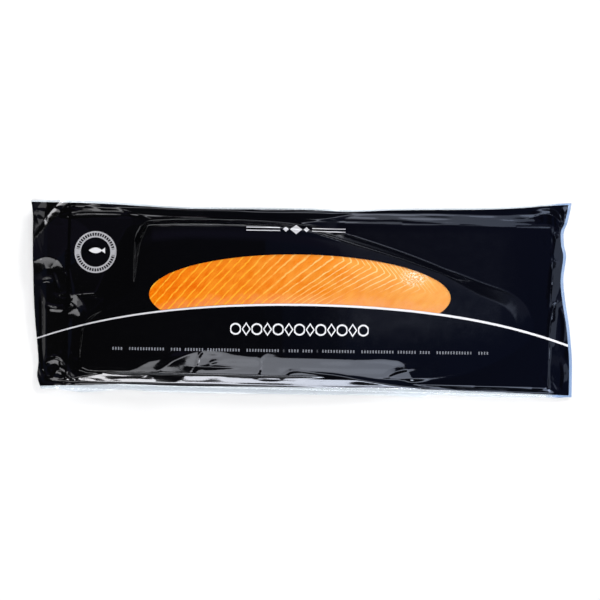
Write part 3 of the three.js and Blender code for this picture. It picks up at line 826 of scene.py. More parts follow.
# %% [markdown]
# ## A finish under construction
# Every finish here starts from the same things: a Principled shader, and the place of the point in
# millimetres. The place is read from Object coordinates, so a pattern stays on its piece wherever the piece
# goes. This class keeps them together and adds noise, mixed colours and small bumps.

# %% The finish
class Finish:
    """A material in the making: its tree, its Principled shader and the place of a point in millimetres."""

    def __init__(self, name):
        self.material = bpy.data.materials.new(name)
        self.material.use_nodes = True
        self.tree = self.material.node_tree
        self.shader = self.tree.nodes["Principled BSDF"]
        place = self.tree.nodes.new("ShaderNodeTexCoord")
        scale = self.tree.nodes.new("ShaderNodeVectorMath")
        scale.operation = "SCALE"
        scale.inputs["Scale"].default_value = 1 / MM
        self.tree.links.new(place.outputs["Object"], scale.inputs[0])
        self.place = scale.outputs[0]
        split = self.tree.nodes.new("ShaderNodeSeparateXYZ")
        self.tree.links.new(self.place, split.inputs[0])
        self.x, self.y = [Field(self.tree, split.outputs[axis]) for axis in "XY"]

    def set(self, **values):
        for name, value in values.items():
            self.shader.inputs[name.replace("_", " ")].default_value = value

    def link(self, value, name):
        self.tree.links.new(value.socket if isinstance(value, Field) else value, self.shader.inputs[name])

    def noise(self, size, detail=2.0, stretch=(1, 1, 1), turn=0.0):
        """Smooth random numbers from 0 to 1, in swells of a size in millimetres, stretched along an axis."""
        mapping = self.tree.nodes.new("ShaderNodeMapping")
        mapping.vector_type = "TEXTURE"
        mapping.inputs["Scale"].default_value = stretch
        mapping.inputs["Rotation"].default_value = (0, 0, math.radians(turn))
        self.tree.links.new(self.place, mapping.inputs["Vector"])
        node = self.tree.nodes.new("ShaderNodeTexNoise")
        node.inputs["Scale"].default_value = 1 / size
        node.inputs["Detail"].default_value = detail
        self.tree.links.new(mapping.outputs["Vector"], node.inputs["Vector"])
        return Field(self.tree, node.outputs["Fac"])

    def attribute(self, name):
        """A number that the mesh itself holds for each of its points."""
        node = self.tree.nodes.new("ShaderNodeAttribute")
        node.attribute_name = name
        return Field(self.tree, node.outputs["Fac"])

    def mix(self, part, start, end):
        return mix_colours(self.tree, part, start, end)

    def bump(self, height, distance, strength=1.0):
        node = self.tree.nodes.new("ShaderNodeBump")
        node.inputs["Strength"].default_value = strength
        node.inputs["Distance"].default_value = distance * MM
        self.tree.links.new(height.socket, node.inputs["Height"])
        self.tree.links.new(node.outputs["Normal"], self.shader.inputs["Normal"])


print("a finish can do:", ", ".join(name for name in vars(Finish) if not name.startswith("_")))

# %% [markdown]
# ## Marks on the print
# On the black film are light marks: the long thin line, a round seal, and rows of plain ornament. They could
# be a picture laid over the film, but drawn by formula they stay sharp from any distance. Every mark is a
# distance: a point is inked where it lies close enough to a line, a ring or a shape.

# %% The line and the seal
INK_EDGE = 0.35
LINE_FADE = {"from": (-280, 60), "half_width": 0.75, "ink_from": (-285, -60), "ink": 0.55}
SEAL = {"x": -222.6, "y": 45.7, "outer": 22.5, "inner": 15.9, "gap": 0.16, "gap_edge": 0.05}
SEAL_TICKS = {"count": 44, "half_angle": 0.048, "half_length": 1.6, "edge": 0.03}


def printed_line(finish):
    """The long curved line. It is drawn thinner and weaker towards the left end."""
    away = (finish.y - line_height(finish.x)).abs()
    half_width = finish.x.ramp(*LINE_FADE["from"], LINE_FADE["half_width"], LINE["half_width"])
    return (half_width - away).edge(INK_EDGE) * finish.x.ramp(*LINE_FADE["ink_from"], LINE_FADE["ink"], 1)


def printed_seal(finish):
    """A round seal: a pale ring with a row of dark ticks in it, left out at either side."""
    dx, dy = finish.x - SEAL["x"], finish.y - SEAL["y"]
    radius = dx.length(dy)
    middle, half = (SEAL["outer"] + SEAL["inner"]) / 2, (SEAL["outer"] - SEAL["inner"]) / 2
    from_middle = (radius - middle).abs()
    angle = dy.math("ARCTAN2", dx)
    tick = angle.cell(2 * math.pi / SEAL_TICKS["count"]).abs()
    ticks = (SEAL_TICKS["half_angle"] - tick).edge(SEAL_TICKS["edge"])
    ticks = ticks * (SEAL_TICKS["half_length"] - from_middle).edge(INK_EDGE)
    ticks = ticks * (angle.math("SINE").abs() - SEAL["gap"]).edge(SEAL["gap_edge"])
    return (half - from_middle).edge(INK_EDGE) * (1 - ticks)


print("seal:", 2 * SEAL["outer"], "mm across, with", SEAL_TICKS["count"], "places for ticks")

# %% [markdown]
# A small fish sits in the seal: a lens for its body and a triangle for its tail. Diamonds turn up in two of
# the ornaments, so they get a function of their own.

# %% The fish and the diamonds
FISH_MARK = {"x": -222.6, "y": 47.5, "half_length": 7.5, "half_width": 3.0}
FISH_TAIL = {"starts_at": 0.8, "length": 4.2, "flare": 0.75}


def printed_fish(finish):
    """A plain fish in the seal."""
    dx, dy = finish.x - FISH_MARK["x"], finish.y - FISH_MARK["y"]
    along = dx / FISH_MARK["half_length"]
    body = (1 - along * along) * FISH_MARK["half_width"] - dy.abs()
    tail_x = dx - FISH_MARK["half_length"] * FISH_TAIL["starts_at"]
    tail = (tail_x * FISH_TAIL["flare"] - dy.abs()).least(FISH_TAIL["length"] - tail_x)
    return body.most(tail).edge(INK_EDGE)


def diamond(dx, dy, half_height, narrow):
    """Above zero inside a diamond that is this many times narrower than it is high."""
    return half_height - dx.abs() * narrow - dy.abs()


print("fish mark:", 2 * FISH_MARK["half_length"], "mm long")

# %% Rows of ornament
TITLE_ROW = {"x": -2, "y": -34.6, "cell": 11.4, "count": 13, "stroke": 1.7}
TITLE_RING = 5.45
TITLE_DIAMOND = {"half_height": 6.2, "narrow": 1.5, "stroke_part": 0.65}
TOP_RULE = {"x": -7, "y": 72.4, "half_length": 53, "gap": 17, "half_stroke": 0.5, "apart": 1.6}
MIDDLE_DIAMOND = {"half_height": 5.2, "narrow": 0.8}
SIDE_DIAMONDS = {"away": 11, "half_height": 2.8, "narrow": 0.9}


def printed_title(finish):
    """A row of rings and diamonds in turn, drawn with one stroke width."""
    dx, dy = finish.x - TITLE_ROW["x"], finish.y - TITLE_ROW["y"]
    u = dx.cell(TITLE_ROW["cell"])
    odd = (dx / TITLE_ROW["cell"]).math("ROUND").math("MULTIPLY", 0.5).cell(1).abs() * 2
    ring = (TITLE_ROW["stroke"] / 2 - (u.length(dy) - TITLE_RING).abs()).edge(INK_EDGE)
    outline = diamond(u, dy, TITLE_DIAMOND["half_height"], TITLE_DIAMOND["narrow"]).abs()
    outline = (TITLE_ROW["stroke"] * TITLE_DIAMOND["stroke_part"] - outline).edge(INK_EDGE)
    within = (TITLE_ROW["cell"] * TITLE_ROW["count"] / 2 - dx.abs()).edge(INK_EDGE)
    return (ring * (1 - odd) + outline * odd) * within


def printed_rule(finish):
    """A fine double rule with three diamonds in its middle."""
    dx, dy = finish.x - TOP_RULE["x"], finish.y - TOP_RULE["y"]
    rule = (TOP_RULE["half_stroke"] - (dy.abs() - TOP_RULE["apart"]).abs()).edge(INK_EDGE)
    rule = rule * (TOP_RULE["half_length"] - dx.abs()).edge(INK_EDGE)
    rule = rule * (dx.abs() - TOP_RULE["gap"]).edge(INK_EDGE)
    middle = diamond(dx, dy, **MIDDLE_DIAMOND).edge(INK_EDGE)
    beside = dx.abs() - SIDE_DIAMONDS["away"]
    beside = diamond(beside, dy, SIDE_DIAMONDS["half_height"], SIDE_DIAMONDS["narrow"]).edge(INK_EDGE)
    return rule.most(middle).most(beside)


print("title row:", TITLE_ROW["count"], "figures over", round(TITLE_ROW["cell"] * TITLE_ROW["count"]), "mm")

# %% [markdown]
# The lowest row is of small bars. Gaps fall where two slow waves cancel out, which groups the bars unevenly,
# much like words, without a list of places.

# %% The row of small bars
SMALL_ROW = {"x": -0.6, "y": -57.4, "half_length": 202, "cell": 3.0, "half_width": 0.7, "half_height": 1.5}
GAPS = {"waves": (0.37, 0.83), "width": 0.18, "edge": 0.05}


def printed_small_row(finish):
    """A long row of small bars, with gaps now and then."""
    dx, dy = finish.x - SMALL_ROW["x"], finish.y - SMALL_ROW["y"]
    bar = (SMALL_ROW["half_width"] - dx.cell(SMALL_ROW["cell"]).abs()).edge(INK_EDGE)
    bar = bar * (SMALL_ROW["half_height"] - dy.abs()).edge(INK_EDGE)
    number = (dx / SMALL_ROW["cell"]).math("ROUND")
    first, second = [(number * wave).math("SINE") for wave in GAPS["waves"]]
    bar = bar * ((first + second).abs() - GAPS["width"]).edge(GAPS["edge"])
    return bar * (SMALL_ROW["half_length"] - dx.abs()).edge(INK_EDGE)


print("small row:", 2 * SMALL_ROW["half_length"], "mm long")

# %% [markdown]
# ## The printed film
# The black print lies under a glossy skin, so the colour is almost nothing and the gloss is everything. A
# Principled shader has both: a nearly black base, and a sharp reflection over it. Towards the right end the
# base is painted a bluish black and the reflection is tinted bluer. Both are a painted reflection of the
# bluer part of the room that shows there. Over the thin half of the fish, where the film lies looser, it is
# a little softer. Real film also has a faint orange-peel, which a small bump gives.

# %% Printed film
# The base's second colour is a painted blue reflection for the right end, not a colour of the ink.
BLACK_INK_AND_PAINTED_BLUE, PAINTED_BLUE_RAMP = ((0.0011, 0.0011, 0.0012), (0.0013, 0.0015, 0.0032)), (-280, 200)
MARKS = (
    (printed_line, (0.8, 0.8, 0.84)),
    (printed_seal, (0.33, 0.33, 0.35)),
    (printed_fish, (0.6, 0.6, 0.62)),
    (printed_title, (0.78, 0.79, 0.82)),
    (printed_rule, (0.5, 0.5, 0.53)),
    (printed_small_row, (0.2, 0.21, 0.24)),
)
SKIN = {"least": 0.05, "most": 0.09, "softer": 0.12}
ORANGE_PEEL = {"fine": 1.6, "coarse": 7, "coarse_part": 2, "depth": 0.02, "strength": 0.5}
SOFT_ZONE = {"from": (0, 60), "to": (210, 245), "front": (-60, -25), "back": (70, 82)}
PAINTED_GLOSS_TINT, PAINTED_TINT_RAMP = ((0.97, 0.97, 1.0), (0.6, 0.72, 1.0)), (-220, 280)


def printed_film():
    """Glossy black film with its light marks."""
    finish = Finish("printed_film")
    # Painted reflection: the base turns from black to a bluish black towards the right end.
    ink = finish.mix(finish.x.ramp(*PAINTED_BLUE_RAMP), *BLACK_INK_AND_PAINTED_BLUE)
    for mark, colour in MARKS:
        ink = finish.mix(mark(finish), ink, colour)
    finish.link(ink, "Base Color")
    finish.set(Specular_IOR_Level=0.4)
    soft = finish.x.ramp(*SOFT_ZONE["from"]) * finish.x.ramp(*SOFT_ZONE["to"], 1, 0)
    soft = soft * finish.y.ramp(*SOFT_ZONE["front"]) * finish.y.ramp(*SOFT_ZONE["back"], 1, 0)
    skin = finish.noise(9, 3).ramp(0.3, 0.7, SKIN["least"], SKIN["most"])
    finish.link(skin + soft * SKIN["softer"], "Roughness")
    # Painted reflection tint: the gloss is tinted bluer towards the right end.
    finish.link(finish.mix(finish.x.ramp(*PAINTED_TINT_RAMP), *PAINTED_GLOSS_TINT), "Specular Tint")
    fine, coarse = finish.noise(ORANGE_PEEL["fine"]), finish.noise(ORANGE_PEEL["coarse"])
    finish.bump(fine + coarse * ORANGE_PEEL["coarse_part"], ORANGE_PEEL["depth"], ORANGE_PEEL["strength"])
    return finish.material


BLACK_FILM = printed_film()
print("printed film:", len(BLACK_FILM.node_tree.nodes), "nodes")

# %% [markdown]
# ## The clear film
# Clear film is seen by its gloss and by the slight blue that it gives to what lies under it. Glass with
# refraction would suit a thick pane, but this film bends no light. So a Transparent shader carries the light
# straight through, and the Fresnel term adds the gloss. The margins also have a faint milky haze, because
# two sheets lie on each other there.

# %% Clear film
REFRACTION = 1.5
# The haze's first colour is its milkiness. The second is painted cool light for the right end.
HAZE_AND_PAINTED_COOL_LIGHT = ((0.78, 0.86, 0.93), (0.3, 0.45, 0.72))
PAINTED_COOL_LIGHT_FROM = (262, 276)
PAINTED_COOL_LIGHT_MORE = 1.5


def mixed(tree, part, first, second):
    """A shader between two others."""
    node = tree.nodes.new("ShaderNodeMixShader")
    tree.links.new(part.socket, node.inputs[0])
    tree.links.new(first.outputs[0], node.inputs[1])
    tree.links.new(second.outputs[0], node.inputs[2])
    return node


def film_fresnel(tree):
    """How much of the light is mirrored, alike from above and from below the sheet."""
    fresnel = tree.nodes.new("ShaderNodeFresnel")
    from_below = Field(tree, tree.nodes.new("ShaderNodeNewGeometry").outputs["Backfacing"])
    tree.links.new(from_below.ramp(0, 1, REFRACTION, 1 / REFRACTION).socket, fresnel.inputs["IOR"])
    return Field(tree, fresnel.outputs[0])


def clear_film(name, tint, roughness, haze=0.0):
    """Clear film with a milky haze, painted bluer and stronger at the right end as painted cool light."""
    finish = Finish(name)
    tree = finish.tree
    tree.nodes.remove(finish.shader)
    body = tree.nodes.new("ShaderNodeBsdfTransparent")
    body.inputs["Color"].default_value = (*tint, 1)
    if haze:
        # Painted cool light: towards the right end the haze turns bluer and stronger.
        to_right = finish.x.ramp(*PAINTED_COOL_LIGHT_FROM)
        milk_and_painted_cool_light = tree.nodes.new("ShaderNodeBsdfDiffuse")
        tree.links.new(finish.mix(to_right, *HAZE_AND_PAINTED_COOL_LIGHT), milk_and_painted_cool_light.inputs["Color"])
        body = mixed(tree, to_right * haze * PAINTED_COOL_LIGHT_MORE + haze, body, milk_and_painted_cool_light)
    gloss = tree.nodes.new("ShaderNodeBsdfGlossy")
    gloss.inputs["Roughness"].default_value = roughness
    mix = mixed(tree, film_fresnel(tree), body, gloss)
    tree.links.new(mix.outputs[0], tree.nodes["Material Output"].inputs["Surface"])
    return finish.material


WINDOW_FILM = clear_film("clear_window_film", (0.96, 0.97, 0.98), 0.05)
MARGIN_FILM = clear_film("clear_margin_film", (0.97, 0.985, 1.0), 0.08, 0.18)
print("clear films:", WINDOW_FILM.name, MARGIN_FILM.name)

# %% [markdown]
# ## From grid to pieces
# Each part of the sheet becomes a mesh of its own. If every mesh found its own normals, the gloss would
# break at each seam. So the normals are worked out once, on the whole sheet, and handed to the pieces.

# %% Normals and meshes
def grid_normals(points):
    """The direction straight out of a sheet at each point of its grid."""
    normal = np.cross(np.gradient(points, axis=0), np.gradient(points, axis=1))
    return normal / np.linalg.norm(normal, axis=-1, keepdims=True)


def mesh_piece(name, points, faces, material, normals=None):
    """A smooth mesh from points in millimetres and (quads, triangles), without unused points."""
    used = np.unique(np.concatenate([polygons.reshape(-1) for polygons in faces]))
    renumbered = np.zeros(len(points), int)
    renumbered[used] = np.arange(len(used))
    mesh = bpy.data.meshes.new(name)
    rings = [ring for polygons in faces for ring in renumbered[polygons].tolist()]
    mesh.from_pydata((points[used] * MM).tolist(), [], rings)
    mesh.polygons.foreach_set("use_smooth", [True] * len(mesh.polygons))
    mesh.materials.append(material)
    if normals is not None:
        mesh.normals_split_custom_set_from_vertices(normals[used].tolist())
    piece = bpy.data.objects.new(name, mesh)
    bpy.context.scene.collection.objects.link(piece)
    print(name, len(mesh.vertices), "points,", sum(len(p.vertices) - 2 for p in mesh.polygons), "triangles")
    return piece


# %% Upper film
front_points = np.dstack([front, film_height(front[..., 0], front[..., 1])])
front_normals = grid_normals(front_points).reshape(-1, 3)
front_points = front_points.reshape(-1, 3)

print_piece = mesh_piece("film_front", front_points, print_faces, BLACK_FILM, front_normals)
window_piece = mesh_piece("film_window", front_points, window_faces, WINDOW_FILM, front_normals)
margin_piece = mesh_piece("film_margin", front_points, margin_faces, MARGIN_FILM, front_normals)

# %% [markdown]
# ## The lower film
# The lower film lies flat on the table under the card, and rises past the card's edge to meet the upper one
# in the weld. It is hidden in use but seals the pouch, so it is a coarser grid between the same four sides,
# turned to face downwards.

# %% Shape of the lower film
BACK_LENGTH_LINES = [(0.075, 40), (0.93, 100), (1, 36)]
BACK_WIDTH_LINES = [(0.15, 28), (0.86, 32), (1, 26)]
WELD_GAP = 0.15
TABLE_GAP = 0.1
RISE_FROM, RISE_TO = 0.5, 6.0

back = between_sides(grid_lines(BACK_LENGTH_LINES), grid_lines(BACK_WIDTH_LINES))
back, back_sign = snap_to_curve(back, inside_print)
back_x, back_y = back[..., 0], back[..., 1]
risen = smooth_step(RISE_FROM, RISE_TO, outside_card(back_x, back_y))
back_z = TABLE_GAP + risen * np.maximum(film_height(back_x, back_y) - WELD_GAP - TABLE_GAP, 0)
back_points = np.dstack([back, back_z])
back_normals = -grid_normals(back_points).reshape(-1, 3)
back_points = back_points.reshape(-1, 3)
print("lower film grid:", back_z.shape, "points")

# %% Lower film
whole_back = [all_quads(*back_z.shape)[:, ::-1], np.empty((0, 3), int)]
back_print_faces, back_margin_faces = sort_faces(whole_back, back_sign)
back_piece = mesh_piece("film_back", back_points, back_print_faces, BLACK_FILM, back_normals)
back_margin = mesh_piece("film_back_margin", back_points, back_margin_faces, MARGIN_FILM, back_normals)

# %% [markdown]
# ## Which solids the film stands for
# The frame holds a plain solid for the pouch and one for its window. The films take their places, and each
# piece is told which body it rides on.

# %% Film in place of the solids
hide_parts("pouch")
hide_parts("window_pane")
FILM_SLOTS = (
    (print_piece, "black_film"),
    (window_piece, "clear_film"),
    (margin_piece, "clear_film"),
    (back_piece, "black_film"),
    (back_margin, "clear_film"),
)
for piece, slot in FILM_SLOTS:
    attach(piece, "root")
print("film pieces:", len(FILM_SLOTS))

# %% [markdown]
# ## Flakes of the salmon
# A fillet is a row of muscle flakes parted by thin sheets of fat. Cut along the fish, the sheets show as
# slanting pale lines, about a centimetre apart, which hook back near the backbone. A wave texture would draw
# them too evenly. So each point of the flesh gets a number that counts the flakes up to it: where that
# number is whole, there is a line. To find the number, a point is slid along its line, round the hook if
# need be, down to the row where the lines are counted.

# %% Where the flakes lie
FLAKE_ROW = 13.6
FLAKE_LINES = [-156, -147, -137.5, -126.5, -117.5, -108, -99, -90, -81, -70.5, -60, -50, -42, -29, -16.3,
               -6.5, 7, 15, 24, 33, 41.5, 51, 63.5, 74, 85, 97, 109, 121, 133, 145, 157, 169, 181, 193, 205,
               217, 229, 241]
FLAKE_LEAN = [(-160, 0.83), (-125, 0.88), (-50, 1.0), (-12, 1.3), (15, 1.5), (52, 1.8), (100, 2.0)]
HOOK_LINE = [(0, 36), (25, 30), (57, 24.7), (89, 14), (121, 0), (150, -14)]
HOOK_LEAN = -0.8
SEARCH_ROUNDS = 30
TURN_STEP, FOOT_STEP = 0.4, 0.5


def flake_number(x, y):
    """Counts the flakes from the thick end up to a point."""
    up = y - FLAKE_ROW
    turn_x = x.copy()
    for _ in range(SEARCH_ROUNDS):
        turn_x += (x - HOOK_LEAN * (up - table_at(HOOK_LINE, turn_x)) - turn_x) * TURN_STEP
    hooked = up > table_at(HOOK_LINE, x)
    line_x, line_up = np.where(hooked, turn_x, x), np.where(hooked, table_at(HOOK_LINE, turn_x), up)
    foot = line_x.copy()
    for _ in range(SEARCH_ROUNDS):
        foot += (line_x - table_at(FLAKE_LEAN, foot) * line_up - foot) * FOOT_STEP
    return np.interp(foot, FLAKE_LINES, np.arange(len(FLAKE_LINES)))


print("flakes from end to end:", len(FLAKE_LINES) - 1)

# %% [markdown]
# ## The body of the fish
# The fish is a closed solid: a top that follows the rule for its thickness, a flat underside on the card,
# and a narrow side all round. It could be a displaced plane, but then its underside would be missing. The
# top also stays a hair's breadth under the film, so that the two surfaces don't cut through each other.

# %% Points of the fish
SALMON_STATIONS, SALMON_STRIPS = 200, 60
END_INSET, SIDE_INSET = 0.1, 0.002
LEAST_FLESH = 0.1

along = np.linspace(back_edge[0, 0] + END_INSET, back_edge[-1, 0] - END_INSET, SALMON_STATIONS)
across = np.linspace(SIDE_INSET, 1 - SIDE_INSET, SALMON_STRIPS)
low, high = np.interp(along, *belly_edge.T), np.interp(along, *back_edge.T)
top_x = np.repeat(along[:, None], SALMON_STRIPS, 1)
top_y = low[:, None] + (high - low)[:, None] * across
top_z = np.minimum(FISH_FLOOR + fish_thickness(top_x, top_y), film_height(top_x, top_y) - 2 * FILM_GAP)
top = np.dstack([top_x, top_y, np.maximum(top_z, FISH_FLOOR + LEAST_FLESH)])
bottom = np.dstack([top_x, top_y, np.full(top_x.shape, FISH_FLOOR)])
salmon_points = np.vstack([top.reshape(-1, 3), bottom.reshape(-1, 3)])
print("flesh up to", round(top_z.max() - FISH_FLOOR, 1), "mm thick")

# %% Faces of the fish
count = top_x.size
number = np.arange(count).reshape(top_x.shape)
ring = np.concatenate([number[:, 0], number[-1, 1:], number[-2::-1, -1], number[0, -2:0:-1]])
after = np.roll(ring, -1)
sides = np.stack([ring + count, after + count, after, ring], -1)
top_quads = all_quads(*top_x.shape)
salmon_quads = np.vstack([top_quads, (top_quads + count)[:, ::-1], sides])
print("faces round the side:", len(sides))

# %% [markdown]
# ## Salmon flesh
# Smoked salmon is a deep orange at the thick end and paler, almost pink, towards the tail and the belly. The
# colour clouds slowly, has a fine grain along the flakes, and is crossed by the lines of fat, which fade
# out over the belly. Near the window's right end, small pale specks are painted in as painted glints of the
# film's fine wrinkles. All of that is mixed from noise and from the two numbers that the mesh carries. The
# flesh has no gloss of its own here, because the film over it is what shines.

# %% Colours of the flesh
DEEP_FLESH = ((0.82, 0.112, 0.0), (0.9, 0.212, 0.0))
PALE_FLESH = ((0.88, 0.28, 0.014), (0.92, 0.4, 0.07))
TAIL_FLESH = (0.94, 0.47, 0.18)
PALE_RAMP, TAIL_RAMP = (-150, 130), (30, 150, 0, 0.45)
GRAIN, GRAIN_PART, GRAIN_TURN = (0.95, 0.37, 0.02), 0.35, -48
BELLY_FLESH = ((0.94, 0.38, 0.12), (0.94, 0.41, 0.2))
BELLY_RAMP = (-120, 90, 0.45, 0.9)
BELLY_BORDER = {"bend": -0.0005, "height": -10, "uneven": 16, "soft": 8}


def flesh_ground(finish):
    """The flesh without its lines: clouds, grain, and a paler tail and belly."""
    cloud = finish.noise(9, 3, stretch=(0.7, 1.6, 1), turn=GRAIN_TURN).ramp(0.32, 0.68)
    grain = finish.noise(2.2, 3, stretch=(0.45, 2.4, 1), turn=GRAIN_TURN).ramp(0.35, 0.75)
    deep, pale = finish.mix(cloud, *DEEP_FLESH), finish.mix(cloud, *PALE_FLESH)
    flesh = finish.mix(finish.x.ramp(*PALE_RAMP), deep, pale)
    flesh = finish.mix(finish.x.ramp(*TAIL_RAMP), flesh, TAIL_FLESH)
    flesh = finish.mix(grain * GRAIN_PART, flesh, GRAIN)
    border = finish.x * finish.x * BELLY_BORDER["bend"] + BELLY_BORDER["height"]
    below = border - finish.y + finish.noise(18) * BELLY_BORDER["uneven"]
    below = below.ramp(-BELLY_BORDER["soft"], BELLY_BORDER["soft"])
    belly = finish.mix(finish.noise(5, 3).ramp(0.35, 0.65), *BELLY_FLESH)
    return finish.mix(below * finish.x.ramp(*BELLY_RAMP), flesh, belly)


print("deep and pale at", PALE_RAMP, "mm, and the belly's colour over", BELLY_RAMP[:2], "mm")

# %% Fat lines and painted glints
FAT, FAT_RAMP = ((0.97, 0.45, 0.03), (0.98, 0.7, 0.36)), (-60, 110)
FAT_LINE = {"half_width": 0.09, "edge": 0.08}
WOBBLE = ((11, 0.36), (3, 0.1))  # size of a swell in millimetres, and how many flakes it shifts a line by
# Painted glints of the film's fine wrinkles, in a patch near the window's right end.
PAINTED_GLINTS = {"x": 120, "y": 23, "half_length": 17, "half_width": 11, "colour": (0.98, 0.84, 0.66)}
PAINTED_GLINT_TURN = -60


def salmon_flesh():
    """Moist orange flesh with pale lines of fat between the flakes."""
    finish = Finish("salmon_flesh")
    flesh = flesh_ground(finish)
    slow, quick = [(finish.noise(size) - 0.5) * shift for size, shift in WOBBLE]
    line = (finish.attribute("flake") + (slow + quick)).cell(1).abs()
    strength = (FAT_LINE["half_width"] - line).edge(FAT_LINE["edge"])
    strength = strength * finish.noise(6).ramp(0.22, 0.5) * finish.attribute("fat")
    flesh = finish.mix(strength, flesh, finish.mix(finish.x.ramp(*FAT_RAMP), *FAT))
    # Painted glints: pale specks in the base colour stand in for glints of the film's fine wrinkles.
    along = (finish.x - PAINTED_GLINTS["x"]) / PAINTED_GLINTS["half_length"]
    across = (finish.y - PAINTED_GLINTS["y"]) / PAINTED_GLINTS["half_width"]
    glint_patch = (1 - along.length(across)).ramp(0, 0.6)
    painted_glints = finish.noise(1.5, 3, stretch=(0.6, 1.5, 1), turn=PAINTED_GLINT_TURN).ramp(0.51, 0.58) * glint_patch
    finish.link(finish.mix(painted_glints, flesh, PAINTED_GLINTS["colour"]), "Base Color")
    finish.set(Roughness=0.35, Specular_IOR_Level=0)
    return finish.material


SALMON_FLESH = salmon_flesh()
print("salmon flesh:", len(SALMON_FLESH.node_tree.nodes), "nodes")

# %% The fish in place of its solid
PLAIN_BELLY = {"along": (5, 60), "across": (16, 4)}
PLAIN_TAIL = (115, 150)

salmon = mesh_piece("salmon_flesh", salmon_points, [salmon_quads], SALMON_FLESH)
salmon_x, salmon_y = salmon_points[:, 0], salmon_points[:, 1]
plain_belly = smooth_step(*PLAIN_BELLY["along"], salmon_x) * smooth_step(*PLAIN_BELLY["across"], salmon_y)
plain = np.maximum(plain_belly, smooth_step(*PLAIN_TAIL, salmon_x))
for name, values in (("flake", flake_number(salmon_x, salmon_y)), ("fat", 1 - plain)):
    salmon.data.attributes.new(name, "FLOAT", "POINT").data.foreach_set("value", values.astype(np.float32))
    print(name, "from", round(values.min(), 2), "to", round(values.max(), 2))
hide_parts("salmon_side")
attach(salmon, "root")

# %% [markdown]
# ## The card's finish
# The card is a plain flat piece, so it stays as the frame gives it, and only gets a finish. Cards of this
# kind are laminated with gold foil, which is part metal and part paper in its sheen. The black film hides
# it here, and it shows only to someone who cuts the pack open.

# %% Card
CARD_GOLD = ((0.56, 0.38, 0.12), (0.64, 0.45, 0.16))


def gold_card():
    """Gold foil on card, with a slight unevenness in its colour."""
    finish = Finish("gold_card")
    finish.link(finish.mix(finish.noise(4, 3), *CARD_GOLD), "Base Color")
    finish.set(Metallic=0.7, Roughness=0.35)
    return finish.material


card = bpy.data.objects["card"]
card.data.materials.clear()
card.data.materials.append(gold_card())
print("card finish:", card.data.materials[0].name)

# %% [markdown]
# ## The table
# The pack lies on a white surface that ends in pure white all round. It is a large matt plane, so that it
# takes the pack's soft shadow but mirrors nothing. A curved backdrop would only be of use from the side.

# %% White table
TABLE_HALF = 3000
TABLE_WHITE = (0.8, 0.8, 0.8, 1)

table_corners = np.array([(-1, -1, 0), (1, -1, 0), (1, 1, 0), (-1, 1, 0)]) * TABLE_HALF
white = Finish("white_table")
white.set(Base_Color=TABLE_WHITE, Roughness=0.9, Specular_IOR_Level=0)
floor = mesh_piece("table", table_corners, [np.array([[0, 1, 2, 3]])], white.material)

# %% [markdown]
# ## Soft panels
# The light is a set of large soft panels round a dark ceiling: level film mirrors the dark ceiling and stays
# black, and film tilted towards a panel mirrors the panel. Film with a tilt of ten degrees mirrors what
# stands twenty degrees from straight up, so a panel is described by the tilts of the film in which it shows.
# Some panels only light the scene and are never mirrored, and some are only mirrored and cast no light.

# %% A panel by the tilts it shows in
PANEL_DISTANCE = 2600


def softbox(name, toward, tilts, half_width, radiance, mirrored=True, lights=True):
    """A soft panel that shows in film tilted towards it by an angle between the two tilts, in degrees."""
    low, high = [math.radians(2 * tilt) for tilt in tilts]
    middle = (low + high) / 2
    azimuth = math.radians(toward)
    ahead = Vector((math.cos(azimuth), math.sin(azimuth), 0))
    place = (ahead * math.sin(middle) + Vector((0, 0, 1)) * math.cos(middle)) * PANEL_DISTANCE
    data = bpy.data.lights.new(name, "AREA")
    data.shape = "RECTANGLE"
    data.size = 2 * PANEL_DISTANCE * math.tan(math.radians(half_width)) * MM
    data.size_y = 2 * PANEL_DISTANCE * math.tan((high - low) / 2) * MM
    data.energy = radiance * math.pi * data.size * data.size_y
    light = bpy.data.objects.new(name, data)
    light.location = place * MM
    light.rotation_euler = place.to_track_quat("Z", "Y").to_euler()
    light.visible_camera = False
    light.visible_glossy = mirrored
    light.visible_diffuse = lights
    bpy.context.scene.collection.objects.link(light)
    print(name, "at", [round(value) for value in place], "mm")


# %% [markdown]
# The three front strips grow brighter downwards and give the belly wall its grey band, and a low one gives
# the white streak under it. The panels behind and to the right show in the rim and in the folds at the
# ends. The key lights the flesh and casts the shadow, and the fill softens it from the other side.

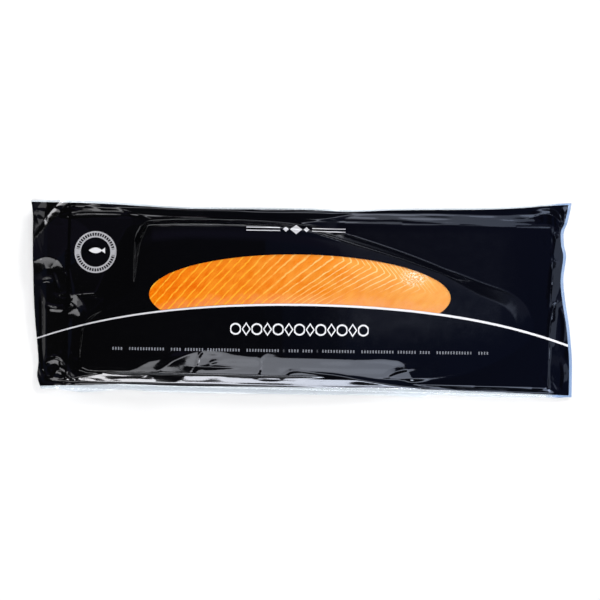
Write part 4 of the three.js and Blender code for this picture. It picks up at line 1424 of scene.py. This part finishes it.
# %% Panels round the pack
softbox("front_1", -90, (11.5, 13.5), 35, 4.2)
softbox("front_2", -90, (13.5, 16.5), 35, 5)
softbox("front_3", -90, (16.5, 19.5), 35, 6)
softbox("front_low", -90, (32.5, 37), 12, 22, lights=False)
softbox("back", 90, (14, 20), 15, 5)
softbox("back_wide", 90, (9, 14), 15, 1.8)
softbox("tail", 42, (7, 20), 16, 0.16, lights=False)
softbox("right", 0, (13, 23), 12, 1.3, lights=False)
softbox("right_low", 0, (26, 40), 7, 6, lights=False)
softbox("front_right", -48, (17, 25), 8, 10, lights=False)
softbox("key", 60, (36, 40), 14, 60, mirrored=False)
softbox("fill", 180, (5, 15), 30, 4.4, mirrored=False)

# %% [markdown]
# ## The ceiling
# The ceiling itself is nearly black, a little lighter and bluer to the right and behind. The pack spans some
# thirteen degrees of view, so its right half mirrors another part of the ceiling than its left half, and
# the black of the film changes softly from one end to the other. It is a world shader, since a modelled room
# would only cost time. Only directions close to straight up are tinted.

# %% Ceiling
CEILING_DARK = (0.026, 0.026, 0.028)
CEILING_RIGHT = (0.06, 0.08, 0.17)
CEILING_BACK = (0.09, 0.08, 0.16)
OVERHEAD = (0.85, 0.95)  # the upward part of a direction, between the walls and the ceiling
RIGHT_RAMP = (0.02, 0.13)
BACK_RAMPS = ((0.0, 0.08), (0.25, 0.12))

world = bpy.data.worlds.new("studio")
world.use_nodes = True
sky = world.node_tree
way = sky.nodes.new("ShaderNodeSeparateXYZ")
sky.links.new(sky.nodes.new("ShaderNodeTexCoord").outputs["Generated"], way.inputs[0])
way_x, way_y, way_z = [Field(sky, out) for out in way.outputs]
overhead = way_z.ramp(*OVERHEAD)
to_right = way_x.ramp(*RIGHT_RAMP) * overhead
to_back = way_y.ramp(*BACK_RAMPS[0]) * way_y.ramp(*BACK_RAMPS[1]) * overhead
ceiling = mix_colours(sky, to_right, CEILING_DARK, CEILING_RIGHT)
ceiling = mix_colours(sky, to_back, ceiling, CEILING_BACK)
sky.links.new(ceiling, sky.nodes["Background"].inputs["Color"])
bpy.context.scene.world = world
print("ceiling:", len(sky.nodes), "nodes")

# %% [markdown]
# ## Size
# The looks have to keep the size of the CAD part.
